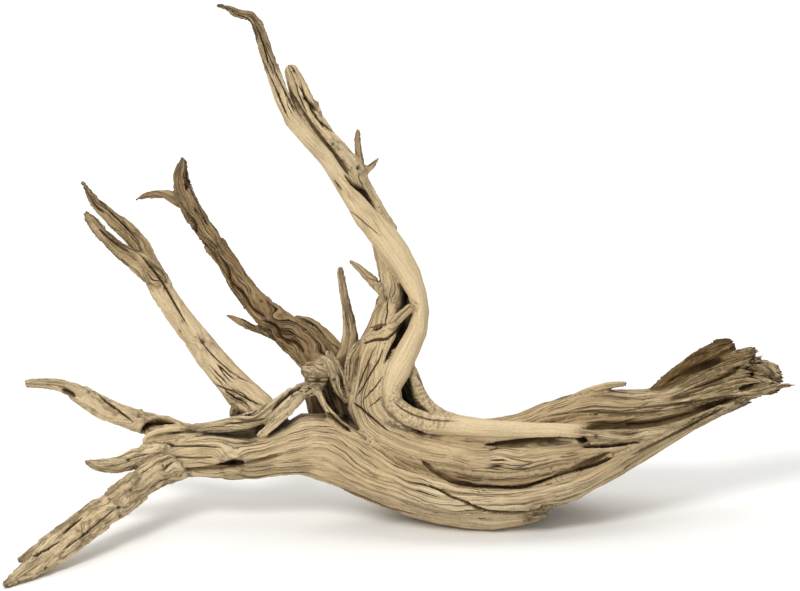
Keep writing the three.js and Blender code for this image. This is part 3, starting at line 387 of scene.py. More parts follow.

# Open wounds of the wood as they lie on its face, seen from in front: long clefts, pockets and
# splits, darkened inside as painted shade. Each has the limbs it runs over (None is all of them),
# its depth, how black the painted shade inside it is, and stations of [x, z, half-width] in
# millimetres.
WOUNDS = {
    "lens_pocket": (("inner_stem", "face", "shoulder", "ribbon"), 5, 0.85, [
      [4, 85, 0.6], [20, 86, 2.2], [38, 87, 3.2], [56, 89, 2.6], [84, 91, 1.1], [110, 88, 0.6],
    ]),
    "wormhole": (None, 6, 1.0, [[97, 89, 0.8], [103, 89, 2.4], [108, 88, 0.8]]),
    "short_cleft": (None, 5, 1.0, [[101, 83, 0.6], [116, 84, 1.7], [136, 85, 1.5], [160, 87, 0.6]]),
    "long_cleft": (None, 3.5, 0.95, [
      [-40, 56, 0.6], [-28, 48, 1.2], [-5, 44, 1.3], [37, 43, 1.3], [60, 48, 1.3], [80, 55, 1.3],
      [100, 61, 1.5], [118, 67, 1.2], [134, 74, 0.6],
    ]),
    "cleft_mouth": (FRONT, 4, 0.62, [
      [-60, 70, 0.6], [-44, 59, 2.4], [-30, 51, 2.4], [-4, 46, 0.6],
    ]),
    "cleft_end": (FRONT, 3.5, 0.6, [
      [70, 54, 0.6], [96, 63, 2.0], [114, 70, 2.4], [130, 77, 0.6],
    ]),
    "belly_split": (None, 3.5, 0.8, [
      [-52, 46, 0.7], [-40, 40, 1.2], [-20, 30, 1.3], [7, 19, 1.5], [40, 18, 1.6], [68, 22, 1.2],
    ]),
    "belly_hair": (None, 1.6, 0.6, [[-170, 52, 0.8], [-130, 38, 1.0], [-90, 22, 1.0], [-60, 14, 0.8]]),
    "ribbon_gap": (FAN, 5, 0.8, [
      [-74, 208, 0.8], [-79, 196, 2.4], [-86, 183, 2.2], [-96, 166, 0.6],
    ]),
    # a painted shadow: a dark line along the lower edge of the underside, over a shallow groove
    "under_edge_painted_shadow": (None, 2, 0.7, [
      [150, 74, 0.8], [173, 86, 1.5], [198, 98, 1.7], [222, 111, 1.7], [247, 124, 0.8],
    ]),
    "crest_cleft": (None, 7, 0.66, [
      [104, 103, 0.8], [122, 105, 3.4], [148, 106, 4.0], [170, 107, 3.2], [190, 111, 3.4],
      [212, 118, 3.2], [235, 126, 2.2], [275, 134, 0.8],
    ]),
    "crest_hair": (None, 2.5, 0.6, [
      [150, 122, 0.8], [180, 124, 1.4], [215, 128, 1.6], [262, 136, 1.0],
    ]),
    "crest_streak": (None, 1.8, 0.5, [
      [60, 112, 0.8], [100, 118, 1.2], [150, 116, 1.2], [190, 120, 0.8],
    ]),
    "lobe_groove": (None, 5, 0.7, [[186, 148, 1.0], [200, 155, 2.8], [222, 164, 3.4], [246, 172, 2.4]]),
    "lobe_groove_2": (None, 3, 0.6, [[196, 166, 0.8], [214, 174, 1.8], [232, 178, 1.2]]),
    "corner_groove": (None, 5, 0.6, [
      [206, 140, 0.8], [232, 150, 2.4], [255, 160, 2.6], [272, 166, 1.4],
    ]),
    "trunk_groove": (("arm",), 3, 0.5, [
      [-312, 58, 1.0], [-285, 60, 2.2], [-262, 62, 2.6], [-252, 64, 3.0],
    ]),
    "trunk_pit": (("arm",), 5, 1.0, [
      [-264, 65, 0.8], [-252, 66, 3.0], [-243, 67, 3.8], [-235, 67, 1.2],
    ]),
    "trunk_groove_2": (("arm",), 2, 0.5, [[-238, 66, 2.0], [-220, 69, 2.2], [-198, 75, 1.0]]),
    "branch_split": (("left_branch",), 3.5, 0.85, [
      [-270, 148, 0.4], [-262, 144, 0.6], [-240, 135, 0.7], [-214, 122, 0.5],
    ]),
    "branch_split_2": (("left_branch",), 3, 0.8, [
      [-283, 196, 0.35], [-272, 180, 0.5], [-252, 161, 0.6], [-228, 147, 0.4],
    ]),
    "branch_split_3": (("left_branch", "left_tine"), 3.5, 0.85, [
      [-345, 281, 0.5], [-333, 268, 1.1], [-319, 250, 1.1], [-305, 226, 0.9], [-292, 204, 0.5],
    ]),
    "tine_split": (("left_branch",), 2.5, 0.8, [[-384, 304, 0.7], [-366, 288, 1.5], [-350, 277, 1.2]]),
    "stem_hole": (None, 5, 1.0, [
      [-135, 355, 0.6], [-128, 347, 1.7], [-117, 338, 2.1], [-108, 327, 1.4], [-102, 319, 0.5],
    ]),
    "stem_slit": (("ribbon",), 3, 0.9, [[-147, 349, 0.5], [-143, 344, 1.2], [-139, 339, 0.5]]),
    "stem_valley": (("ribbon", "stub_strand"), 5, 0.62, [
      [-190, 440, 0.8], [-178, 419, 1.4], [-163, 398, 1.3], [-149, 381, 1.4], [-138, 366, 1.6],
      [-130, 354, 1.2],
    ]),
    "stub_split": (STUB, 3.5, 0.9, [
      [-182, 446, 0.5], [-172, 430, 1.0], [-165, 416, 1.0], [-154, 400, 0.5],
    ]),
    "stub_crack": (STUB, 3, 0.95, [
      [-178, 434, 0.5], [-170, 427, 1.3], [-162, 419, 0.6],
    ]),
    "stub_edge": (STUB, 3, 0.9, [
      [-165, 413, 0.4], [-155, 405, 0.9], [-144, 396, 0.5],
    ]),
    "top_crack": (("ribbon",), 2.2, 0.95, [
      [-226, 506, 0.4], [-219, 492, 0.8], [-214, 476, 0.9], [-212, 464, 0.4],
    ]),
    "top_crack_2": (("ribbon",), 2, 0.9, [
      [-213, 458, 0.4], [-206, 444, 0.8], [-200, 430, 0.8], [-192, 412, 0.4],
    ]),
    "top_crack_3": (("ribbon",), 2, 0.85, [
      [-206, 462, 0.4], [-198, 446, 0.8], [-190, 430, 0.7], [-184, 418, 0.4],
    ]),
    "ribbon_lip": (("ribbon",), 1.6, 0.6, [
      [-86, 128, 0.5], [-74, 119, 1.0], [-52, 111, 1.0], [-20, 109, 0.5],
    ]),
    "stem_hair": (("ribbon",), 1.5, 0.7, [[-133, 321, 0.4], [-116, 307, 0.6], [-98, 293, 0.4]]),
    "stem_fold": (("inner_stem",), 4, 0.8, [
      [-108, 200, 0.8], [-97, 203, 1.6], [-84, 206, 2.0], [-76, 212, 1.4],
    ]),
    "fan_crack": (FAN, 1, 0.85, [
      [-126, 130, 0.35], [-114, 148, 0.7], [-103, 168, 0.7], [-94, 188, 0.35],
    ]),
    "fan_crack_2": (FAN, 1, 0.85, [
      [-122, 142, 0.35], [-116, 158, 0.65], [-107, 180, 0.35],
    ]),
    "fan_crack_3": (FAN, 1, 0.85, [
      [-120, 126, 0.35], [-106, 142, 0.65], [-92, 160, 0.35],
    ]),
    "fan_crack_4": (FAN, 1, 0.85, [
      [-96, 206, 0.35], [-93, 218, 0.65], [-92, 232, 0.35],
    ]),
    "fan_crack_5": (FAN, 1, 0.85, [
      [-112, 122, 0.35], [-98, 134, 0.65], [-90, 148, 0.35],
    ]),
    "fan_wrinkle": (("inner_stem", "fan_edge", "fan_fold"), 2.5, 0.8, [
      [-120, 186, 0.5], [-106, 190, 1.2], [-92, 192, 1.3], [-82, 200, 0.6],
    ]),
    "fan_wrinkle_2": (("inner_stem", "fan_edge", "fan_fold"), 1.6, 0.6, [
      [-112, 202, 0.5], [-102, 205, 0.9], [-90, 206, 0.5],
    ]),
    "fan_foot": (("inner_stem", "fan_edge", "arm"), 2.5, 0.8, [
      [-128, 128, 0.6], [-118, 121, 1.2], [-104, 110, 1.0], [-90, 98, 0.5],
    ]),
    "buttress_lip": (("buttress", "ribbon", "back_rib"), 2, 0.7, [
      [-64, 158, 0.4], [-58, 148, 0.8], [-52, 138, 0.4],
    ]),
    "root_crack": (("claw_root",), 3, 0.85, [
      [-384, 137, 0.4], [-372, 128, 0.7], [-360, 119, 0.8], [-346, 107, 0.6],
    ]),
    "root_slot": (("claw_root", "cradle", "collar", "arm", "crossing_limb"), 6, 1.0, [
      [-338, 94, 0.6], [-335, 101, 2.6], [-326, 107, 3.2], [-314, 109, 2.6], [-304, 107, 0.6],
    ]),
    "collar_crack": (TRUNK_END, 2, 0.8, [
      [-318, 88, 0.5], [-300, 84, 0.9], [-280, 84, 0.9], [-258, 82, 0.5],
    ]),
    "collar_crack_2": (TRUNK_END, 1.8, 0.7, [
      [-312, 74, 0.5], [-290, 72, 0.9], [-262, 73, 0.5],
    ]),
    "root_flap": (("claw_root",), 4, 0.9, [[-418, 140, 1.0], [-412, 137, 2.4], [-404, 133, 1.2]]),
    "foot_slit": (("foot_root", "foot_lobe"), 4, 0.9, [
      [-419, -4, 0.4], [-409, 4, 1.0], [-396, 15, 0.4],
    ]),
    "foot_crack": (("foot_root",), 2.5, 0.8, [
      [-420, -22, 0.4], [-400, -8, 0.7], [-380, 8, 0.7], [-362, 24, 0.4],
    ]),
    "foot_split": (("foot_root", "foot_lobe"), 4, 0.85, [
      [-448, -26, 0.8], [-436, -20, 1.0], [-416, -8, 0.4],
    ]),
    "limb_crack": (("crossing_limb", "limb_leg"), 3, 0.9, [
      [-178, 143, 0.7], [-188, 138, 1.4], [-199, 129, 1.5], [-209, 118, 0.8],
    ]),
    "limb_split": (("crossing_limb",), 2, 0.7, [[-212, 112, 0.8], [-232, 108, 1.1], [-256, 106, 0.8]]),
    "strap_pocket": (("strap",), 5, 0.95, [
      [-154, 118, 0.8], [-146, 112, 2.4], [-137, 104, 2.6], [-128, 98, 0.8],
    ]),
    "rear_crack": (("rear_branch",), 3, 0.85, [
      [-262, 276, 0.8], [-252, 262, 1.5], [-249, 248, 1.5], [-236, 236, 1.6], [-228, 222, 1.4],
      [-212, 212, 0.8],
    ]),
    "rear_crack_2": (("rear_branch",), 3, 0.85, [
      [-296, 322, 0.7], [-286, 306, 1.4], [-283, 292, 1.3], [-270, 280, 0.8],
    ]),
    "rear_crack_3": (("rear_branch",), 3.2, 0.85, [
      [-218, 210, 0.8], [-204, 204, 1.7], [-198, 192, 1.5], [-184, 187, 1.7], [-176, 176, 0.8],
    ]),
    "rear_pit": (("rear_branch",), 5, 0.9, [[-293, 358, 1.2], [-291, 350, 2.6], [-294, 340, 1.2]]),
    "end_pit": (("crest",), 6, 0.9, [[284, 150, 1.0], [287, 158, 3.0], [284, 166, 1.2]]),
    "end_pit_2": (("crest", "flare_corner"), 5, 0.8, [
      [262, 140, 1.0], [276, 143, 2.2], [290, 147, 1.0],
    ]),
}

# Knots, as [x, z, radius, height of the rim, how dark its heart is], on the limbs named.
KNOTS = {
    "trunk_eye": (("arm",), [-248, 66, 8, 2.5, 0.8]),
    "branch_eye": (("left_branch",), [-277, 188, 5.5, 1.5, 0.8]),
    "branch_eye_2": (("left_branch",), [-314, 248, 4.5, 1.2, 0.7]),
    "stem_eye": (("stub_strand",), [-147, 386, 3.5, 0.8, 1.0]),
    "stem_eye_2": (("stub_strand",), [-122, 362, 4.5, 1.4, 1.0]),
    "fan_eye": (("inner_stem",), [-94, 231, 6, 1.6, 0.7]),
    "fan_eye_2": (("inner_stem", "stem_spike"), [-101, 250, 4, 1.2, 0.9]),
    "root_eye": (("claw_root",), [-391, 138, 4, 1.0, 0.6]),
    "root_eye_2": (("claw_root",), [-341, 114, 4.5, 1.2, 0.6]),
    "knob_heart": (("knob", "knob_eye"), [-162, 150, 7, 1.5, 0.9]),
    "rear_eye": (("rear_branch",), [-208, 205, 8, 1.6, 0.5]),
    "rear_eye_2": (("rear_branch",), [-262, 284, 5, 1.2, 0.6]),
    "foot_pit": (("foot_root",), [-349, 40, 4, 0.8, 0.9]),
    "foot_pit_2": (("foot_root",), [-362, 22, 3.5, 0.8, 0.9]),
    "foot_pit_3": (("foot_root",), [-397, -4, 4, 0.8, 0.8]),
    "crossing_eye": (("crossing_limb",), [-186, 142, 5, 1.4, 0.6]),
}


def plane_axes():
    """The directions of the plane of the branches in the part's frame: along, in depth, and up."""
    along = np.array([1.0, 0.0, 0.0])
    depth = np.array([0.0, math.cos(LEAN), -math.sin(LEAN)])
    up = np.array([0.0, math.sin(LEAN), math.cos(LEAN)])
    return np.array([along, depth, up])


def in_plane(points):
    """Points in metres, as x, depth and height in the plane of the branches, in mm."""
    return (points / MM - PLANE_ZERO_MM) @ plane_axes().T


def face_on(plane):
    """Where points stand against the plane of the branches, seen from in front of it."""
    nearer = 1 + plane[:, 1] / VIEW_DISTANCE_MM
    return (plane[:, ::2] - VIEW_MIDDLE_MM) / nearer[:, None] + VIEW_MIDDLE_MM


# ---------------------------------------------------------------------------- the surface


def world_shape(name):
    """A copy of a CAD node's mesh with its triangles joined up."""
    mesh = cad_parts[name].data.copy()
    solid = bmesh.new()
    solid.from_mesh(mesh)
    bmesh.ops.remove_doubles(solid, verts=solid.verts, dist=1e-6)
    solid.to_mesh(mesh)
    solid.free()
    return mesh


def placed(name, data):
    """An object with the data given, in the scene."""
    thing = bpy.data.objects.new(name, data)
    bpy.context.collection.objects.link(thing)
    return thing


def settled(thing):
    """The mesh that an object has once its modifiers have acted."""
    scene = bpy.context.evaluated_depsgraph_get()
    return bpy.data.meshes.new_from_object(thing.evaluated_get(scene))


def remeshed(mesh, size):
    """The same shape with faces of one size."""
    thing = placed("driftwood_rough", mesh)
    even = thing.modifiers.new("even faces", "REMESH")
    even.mode = "VOXEL"
    even.voxel_size = size
    even.adaptivity = 0.0
    result = settled(thing)
    bpy.data.objects.remove(thing)
    return result


def rows_of(items, key, width, kind=np.float32):
    """One property of every item of a mesh, a row for each."""
    flat = np.empty(len(items) * width, dtype=kind)
    items.foreach_get(key, flat)
    return flat.reshape(-1, width)


def positions(mesh):
    return rows_of(mesh.vertices, "co", 3).astype(float)


def move_to(mesh, points):
    mesh.vertices.foreach_set("co", points.astype(np.float32).ravel())
    mesh.update()


def neighbour_mean(values, pairs):
    """The mean of each vertex's neighbours."""
    count = np.bincount(pairs.ravel(), minlength=len(values)).astype(float)
    total = np.zeros_like(values)
    for k in range(values.shape[1]):
        total[:, k] = np.bincount(pairs[:, 0], values[pairs[:, 1], k], len(values))
        total[:, k] += np.bincount(pairs[:, 1], values[pairs[:, 0], k], len(values))
    return total / count[:, None]


def soften(points, pairs, passes):
    """Rounds a surface off without shrinking it: each pass in is followed by a pass out."""
    for _ in range(passes):
        for step in (0.5, -0.52):
            points = points + step * (neighbour_mean(points, pairs) - points)
    return points


# ------------------------------------------------------------------- the way the fibres run

# What stands where in a row of limb_samples.
CENTRE = slice(0, 3)
ALONG = slice(3, 6)
ACROSS = slice(6, 9)
BACK = slice(9, 12)
HALF = slice(12, 14)
SO_FAR = 14
NUMBER = 15


def catmull(values, t):
    """A smooth curve through rows of values, at t from 0 to the last row."""
    values = np.asarray(values, float)
    before = np.vstack([2 * values[0] - values[1], values, 2 * values[-1] - values[-2]])
    i = np.clip(t.astype(int), 0, len(values) - 2)
    f = (t - i)[:, None]
    a, b, c, d = before[i], before[i + 1], before[i + 2], before[i + 3]
    return 0.5 * (2 * b + (c - a) * f + (2 * a - 5 * b + 4 * c - d) * f**2
                  + (3 * b - a - 3 * c + d) * f**3)


def unit(rows):
    """Rows as directions, one long each."""
    return rows / np.linalg.norm(rows, axis=1)[:, None]


def limb_samples(step_mm=4, thinnest_mm=1.2):
    """Centre, directions, half-widths and length so far at close steps along every limb."""
    rows = []
    for number, stations in enumerate(LIMBS.values()):
        stations = np.asarray(stations, float)
        length = np.linalg.norm(np.diff(stations[:, :3], axis=0), axis=1).sum()
        t = np.linspace(0, len(stations) - 1, int(length / step_mm) + 2)
        at = catmull(stations, t)
        along = unit(np.gradient(at[:, :3], axis=0))
        across = unit(np.cross(along, [0, 1, 0]))
        back = np.cross(across, along)
        steps = np.linalg.norm(np.diff(at[:, :3], axis=0), axis=1)
        so_far = np.concatenate([[0], np.cumsum(steps)])
        size = np.maximum(at[:, 3:5], thinnest_mm)
        which = np.full((len(t), 1), number)
        rows.append(np.hstack([at[:, :3], along, across, back, size, so_far[:, None], which]))
    return np.vstack(rows)


def nearest_sample(points, samples, batch=20000):
    """For each point, the step of a limb whose elliptical section it lies closest to."""
    centre, along, across, back, half = (samples[:, k] for k in (CENTRE, ALONG, ACROSS, BACK, HALF))
    reach = np.minimum(half[:, 0], half[:, 1]) * 0.8 + 2
    form = 0
    for direction, size in ((across, half[:, 0]), (back, half[:, 1]), (along, reach)):
        scaled = direction / size[:, None]
        form = form + np.einsum("ni,nj->nij", scaled, scaled)
    moved = np.einsum("nij,nj->ni", form, centre)
    weights = np.stack([form[:, 0, 0], form[:, 1, 1], form[:, 2, 2], 2 * form[:, 0, 1],
                        2 * form[:, 0, 2], 2 * form[:, 1, 2], -2 * moved[:, 0],
                        -2 * moved[:, 1], -2 * moved[:, 2],
                        np.einsum("ni,ni->n", moved, centre)])
    best = np.empty(len(points), int)
    for start in range(0, len(points), batch):
        x, y, z = points[start:start + batch].T
        terms = np.stack([x * x, y * y, z * z, x * y, x * z, y * z, x, y, z, np.ones_like(x)], 1)
        best[start:start + batch] = (terms @ weights).argmin(1)
    return best


def nearest_limb(points):
    """The limb of each point, its place along and round it, the limb's mean half-width, and the
    limb's directions there."""
    samples = limb_samples()
    nearest = samples[nearest_sample(points, samples)]
    offset = points - nearest[:, CENTRE]
    along, across, back = nearest[:, ALONG], nearest[:, ACROSS], nearest[:, BACK]
    u, v = (np.einsum("ni,ni->n", offset, side) for side in (across, back))
    half = nearest[:, HALF]
    angle = np.arctan2(v / half[:, 1], u / half[:, 0])
    length = nearest[:, SO_FAR] + np.einsum("ni,ni->n", offset, along)
    numbers = samples[:, NUMBER].astype(int)
    girth = np.bincount(numbers, samples[:, HALF].mean(1)) / np.bincount(numbers)
    limb = nearest[:, NUMBER].astype(int)
    return limb, length, angle, girth[limb], along, across


def sway(points):
    """How far the fibres stray to one side, before it is scaled: a broad and a small wave."""
    broad = [noise.noise(Vector(p)) for p in points / BROAD_SWAY_MM]
    small = [noise.noise(Vector(p)) for p in points / SMALL_SWAY_MM + SWAY_APART]
    return np.array(broad) + 0.3 * np.array(small)


def grain_coordinates(limb, length, angle, girth):
    """Grain coordinates in mm: round the limb's mean half-width, and drawn out along its fibres."""
    # Each limb's pattern starts somewhere of its own.
    start = np.random.default_rng(7).uniform(-400, 400, (len(LIMBS), 3))
    ring = np.stack([girth * np.cos(angle), girth * np.sin(angle), length * FIBRE_SQUEEZE], 1)
    return ring + start[limb]


def character(plane, limb, pairs):
    """The character of the wood at each point, faded across the joins."""
    table = np.array([CHARACTER.get(name, USUAL_CHARACTER) for name in LIMBS])
    values = table[limb]
    for names, discs, nature in PATCHES.values():
        share = near_discs(plane, discs) * on_limbs(limb, names)
        values = values + share[:, None] * (np.array(nature) - values)
    for _ in range(JOIN_ROUNDS):
        values = 0.3 * values + 0.7 * neighbour_mean(values, pairs)
    return values


def near_discs(plane, discs):
    """1 in the middle of any disc, and fading to 0 outside it."""
    share = np.zeros(len(plane))
    for x, z, radius in discs:
        gap = np.hypot(plane[:, 0] - x, plane[:, 2] - z) / radius
        share = np.maximum(share, np.clip(2.2 - 1.6 * gap, 0, 1))
    return share


def seams(limb, pairs):
    """1 where the fibres of two limbs meet, fading to 0 beside it."""
    mixed = pairs[limb[pairs[:, 0]] != limb[pairs[:, 1]]]
    seam = np.zeros((len(limb), 1))
    seam[mixed.ravel()] = 1
    return np.minimum(1, neighbour_mean(seam, pairs) * 4 + seam)


def on_limbs(limb, names):
    """Which points lie on the named limbs, or on any limb."""
    if names is None:
        return np.ones(len(limb), bool)
    order = list(LIMBS)
    return np.isin(limb, [order.index(name) for name in names])


def wound_line(stations):
    """Close steps along a wound: places and half-widths, half-widths that taper out at both
    ends, and the directions it runs in."""
    t = np.linspace(0, len(stations) - 1, 12 * len(stations))
    line = catmull(stations, t)
    width = line[:, 2] * np.clip(3 * np.minimum(t, t[-1] - t), 0, 1)
    return line, width, unit(np.gradient(line[:, :2], axis=0))


def nearest_step(seen, line):
    """For each point, the step of a wound it lies nearest to, and how far off it lies from it."""
    offset = seen[:, None] - line[None, :, :2]
    gap = np.linalg.norm(offset, axis=2)
    step = (gap / np.maximum(line[:, 2], 0.5)).argmin(1)
    row = np.arange(len(seen))
    return step, gap[row, step], offset[row, step]


def wound_fields(plane, facing, limb):
    """How deep the wounds go at each point, in mm, and what draws them: how black the painted shade
    inside the nearest one is, the distance to one side of its middle line, its half-width, and their
    ratio."""
    seen = face_on(plane)
    deep = np.zeros(len(plane))
    black = np.zeros(len(plane))
    side = np.full(len(plane), CLEAR_OF_WOUNDS)
    half = np.full(len(plane), 0.05)
    closest = np.full(len(plane), CLEAR_OF_WOUNDS)
    for names, depth, dark, stations in WOUNDS.values():
        line, width, heading = wound_line(stations)
        low = line[:, :2].min(0) - WOUND_MARGIN_MM
        high = line[:, :2].max(0) + WOUND_MARGIN_MM
        near = ((seen > low) & (seen < high)).all(1) & facing & on_limbs(limb, names)
        picked = np.flatnonzero(near)
        step, gap, offset = nearest_step(seen[picked], line)
        across = heading[step, 0] * offset[:, 1] - heading[step, 1] * offset[:, 0]
        profile = np.clip(1.4 - gap / np.maximum(width[step], 1.1), 0, 1)
        profile = profile * profile * (3 - 2 * profile) * np.clip(width[step], 0.2, 1)
        deep[picked] = np.maximum(deep[picked], depth * profile)
        share = gap / np.maximum(width[step], 0.4)
        nearer = share < closest[picked]
        picked, step = picked[nearer], step[nearer]
        closest[picked] = share[nearer]
        side[picked] = across[nearer]
        half[picked] = np.maximum(width[step], 0.05)
        # how dark the painted shade inside this wound is
        black[picked] = dark
    return {"wound_mm": deep, "wound_black": black, "wound_side_mm": side, "wound_half_mm": half,
            "wound_share": closest}


def knot_fields(plane, facing, limb, across):
    """The sideways bend of the fibres, the height and the darkness that the knots cause."""
    seen = face_on(plane)
    bend = np.zeros(len(plane))
    rise = np.zeros(len(plane))
    black = np.zeros(len(plane))
    for names, (x, z, radius, rim, dark) in KNOTS.values():
        out = seen - [x, z]
        gap = np.linalg.norm(out, axis=1) / radius
        there = facing & on_limbs(limb, names) & (gap < 4)
        fade = np.exp(-0.5 * gap**2) * there
        bend += 2.2 * fade * (out * across[:, ::2]).sum(1)
        rings = np.exp(-2.5 * (gap - 1) ** 2) - 1.3 * np.exp(-6 * gap**2)
        rise += rim * rings * there
        heart = dark * np.exp(-5 * gap**2)
        ring = 0.5 * dark * np.exp(-30 * (gap - 1.45) ** 2)
        black = np.maximum(black, np.maximum(heart, ring) * there)
    return bend, rise, black


def openness(points, normals, directions=64, cell=3.2, slack=4.5):
    """The share of the light from all round that reaches each point."""
    reached = np.zeros(len(points))
    total = np.zeros(len(points))
    for k in range(directions):
        height = 1 - 2 * (k + 0.5) / directions
        turn = math.pi * (3 - math.sqrt(5)) * k
        ring = math.sqrt(1 - height * height)
        towards = np.array([ring * math.cos(turn), ring * math.sin(turn), height])
        side = np.cross(towards, [0.31, 0.48, 0.82])
        side /= np.linalg.norm(side)
        other = np.cross(towards, side)
        grid = np.stack([points @ side, points @ other], 1) / cell
        grid = np.floor(grid - grid.min(0)).astype(np.int64)
        place = grid[:, 0] * (grid[:, 1].max() + 1) + grid[:, 1]
        depth = points @ towards
        order = np.argsort(depth)
        top = np.empty(place.max() + 1)
        top[place[order]] = depth[order]
        weight = np.clip(normals @ towards, 0, None)
        reached += weight * (depth > top[place] - slack)
        total += weight
    return reached / np.maximum(total, 1e-6)


def store(mesh, name, kind, values):
    layer = mesh.attributes.new(name, kind, "POINT")
    key = "vector" if kind == "FLOAT_VECTOR" else "value"
    layer.data.foreach_set(key, np.ascontiguousarray(values, dtype=np.float32).ravel())


def torn_end(plane):
    """0 where the trunk is whole, rising to 1 at its torn end."""
    return np.clip((plane[:, 0] - TORN_FROM_MM) / TORN_OVER_MM, 0, 1) * (plane[:, 2] > TORN_ABOVE_MM)


def light_reach(points, normals, pairs):
    """How open each point lies to the light, evened out."""
    reach = openness(points / MM, normals)[:, None]
    for _ in range(3):
        reach = neighbour_mean(reach, pairs)
    return reach


def grown_surface():
    """The solid's surface, softened, with all that its relief and its colour follow."""
    mesh = remeshed(world_shape("driftwood"), VOXEL_MM * MM)
    pairs = rows_of(mesh.edges, "vertices", 2, np.int32)
    points = soften(positions(mesh), pairs, SOFTENING_PASSES)
    move_to(mesh, points)
    plane = in_plane(points)
    normals = rows_of(mesh.vertex_normals, "vector", 3).astype(float)
    facing = normals @ plane_axes()[1] < IN_SIGHT
    limb, length, angle, girth, along, across = nearest_limb(plane)
    values = character(plane, limb, pairs)
    nature = {name: values[:, k] for k, name in enumerate(NATURE)}
    bend, rise, heart = knot_fields(plane, facing, limb, across)
    angle = angle + (bend + sway(plane) * (1.5 + 9 * nature.pop("wander"))) / girth
    amounts = {
        # how much light from all round reaches each point; the colour is darkened by it as painted
        # shade
        "open_sky": light_reach(points, normals, pairs),
        "knot_mm": rise,
        "knot_black": heart,
        "seam": seams(limb, pairs),
        "wrinkled": near_discs(plane, WRINKLES) * facing,
        "broken": torn_end(plane),
    }
    directions = {
        "position_mm": positions(mesh) / MM,
        "grain": grain_coordinates(limb, length, angle, girth),
        "round_it": np.stack([-np.sin(angle), np.cos(angle), 0 * angle], 1),
        "fibre": along @ plane_axes(),
    }
    for name, amount in (amounts | wound_fields(plane, facing, limb) | nature).items():
        store(mesh, name, "FLOAT", amount)
    for name, direction in directions.items():
        store(mesh, name, "FLOAT_VECTOR", direction)
    mesh.update()
    return mesh


# ------------------------------------------------------------------- nodes and their settings

MATH = "ShaderNodeMath"
VECTOR = "ShaderNodeVectorMath"
RANGE = "ShaderNodeMapRange"
NOISE = "ShaderNodeTexNoise"
CELLS = "ShaderNodeTexVoronoi"
PARTS = "ShaderNodeSeparateXYZ"
TIMES = {"operation": "MULTIPLY"}
OVER = {"operation": "DIVIDE"}
PLUS = {"operation": "ADD"}
MINUS = {"operation": "SUBTRACT"}
TIMES_PLUS = {"operation": "MULTIPLY_ADD"}
POWER = {"operation": "POWER"}
LARGER = {"operation": "MAXIMUM"}
UNSIGNED = {"operation": "ABSOLUTE"}
SCALED = {"operation": "SCALE"}
SMOOTH = {"interpolation_type": "SMOOTHSTEP"}
COLOURS = {"data_type": "RGBA", "clamp_factor": True}


def node(tree, kind, settings, *values, **links):
    """Adds a node. values go to its inputs in order, and links by name, with _ for a space, or
    by number, as i6. Each is a constant, a socket, or a node, which stands for its first output."""
    made = tree.nodes.new(kind)
    for key, value in settings.items():
        setattr(made, key, value)
    numbered = {f"i{k}": value for k, value in enumerate(values)}
    for key, value in (numbered | links).items():
        socket = made.inputs[int(key[1:]) if key[1:].isdigit() else key.replace("_", " ")]
        source = value.outputs[0] if isinstance(value, bpy.types.Node) else value
        if isinstance(source, bpy.types.NodeSocket):
            tree.links.new(source, socket)
        else:
            socket.default_value = source
    return made


def linear(hex_colour):
    """An sRGB hex colour as linear RGBA."""
    parts = [int(hex_colour[i:i + 2], 16) / 255 for i in (1, 3, 5)]
    return [c / 12.92 if c <= 0.04045 else ((c + 0.055) / 1.055) ** 2.4 for c in parts] + [1.0]


# ------------------------------------------------------------------ the grain of the surface

RELIEF_INPUTS = {
    "Flute Depth": 1.5 * MM,
    "Ridge Depth": 0.9 * MM,
    "Crack Depth": 2.0 * MM,
    "Lump Height": 1.5 * MM,
    "Plate Step": 2.6 * MM,
    "Pit Depth": 1.6 * MM,
    "Splinter Length": 60 * MM,
}

# How many of each pattern lie in a millimetre.
FLUTES_PER_MM = 0.085  # soft layers blasted out, 12 mm apart
RIDGES_PER_MM = 0.2  # hard layers left standing, 5 mm apart
CRACKS_PER_MM = 0.1  # open cracks, 10 mm apart where the wood is weak
WEAK_PER_MM = 0.02  # stretches of weak wood, 50 mm across
PLATES_PER_MM = 0.1  # plates of outer fibres, 10 mm wide
PITS_PER_MM = 0.1  # at most one pit in 10 mm
LUMPS_PER_MM = 0.04  # swellings 25 mm across
KNOBS_PER_MM = 0.13  # lesser ones on rough wood, 8 mm across
SPLINTERS_PER_MM = 0.16  # 6 mm wide

CRACK_STRETCH = (1.0, 1.0, 0.7)  # cracks run on along the fibres
PLATE_STRETCH = (1.0, 1.0, 6.0)  # plates are short
SPLINTER_STRETCH = (1.0, 1.0, 0.3)


def open_cracks(add, marks):
    """Cracks between bundles of fibres, and the weak wood that they open in."""
    split = add(VECTOR, TIMES, marks["grain"], CRACK_STRETCH)
    split = add(NOISE, {}, Vector=split, Scale=CRACKS_PER_MM, Detail=1.0)
    split = add(MATH, UNSIGNED, add(MATH, MINUS, split, 0.5))
    split = add(RANGE, SMOOTH, split, 0.003, 0.018, 1.0, 0.0)
    weak = add(NOISE, {}, Vector=marks["position_mm"], Scale=WEAK_PER_MM, Detail=1.0)
    weak = add(MATH, TIMES_PLUS, marks["cracked"], 0.35, weak)
    weak = add(RANGE, SMOOTH, weak, 0.66, 0.8)
    crack = add(MATH, TIMES, split, weak)
    return add(MATH, TIMES, crack, add(MATH, MINUS, 1.0, marks["seam"])), weak


def rotted_pits(add, marks):
    """Round pits where rough wood rotted: a few of the cells have one."""
    cells = add(CELLS, {}, Vector=marks["position_mm"], Scale=PITS_PER_MM).outputs
    chosen = add(PARTS, {}, Vector=cells["Color"]).outputs[1]
    chosen = add(RANGE, SMOOTH, chosen, 0.72, 0.76)
    chosen = add(MATH, TIMES, chosen, add(RANGE, SMOOTH, marks["rough"], 0.4, 0.7))
    pit = add(RANGE, SMOOTH, cells["Distance"], 0.12, 0.26, 1.0, 0.0)
    return add(MATH, TIMES, pit, chosen)


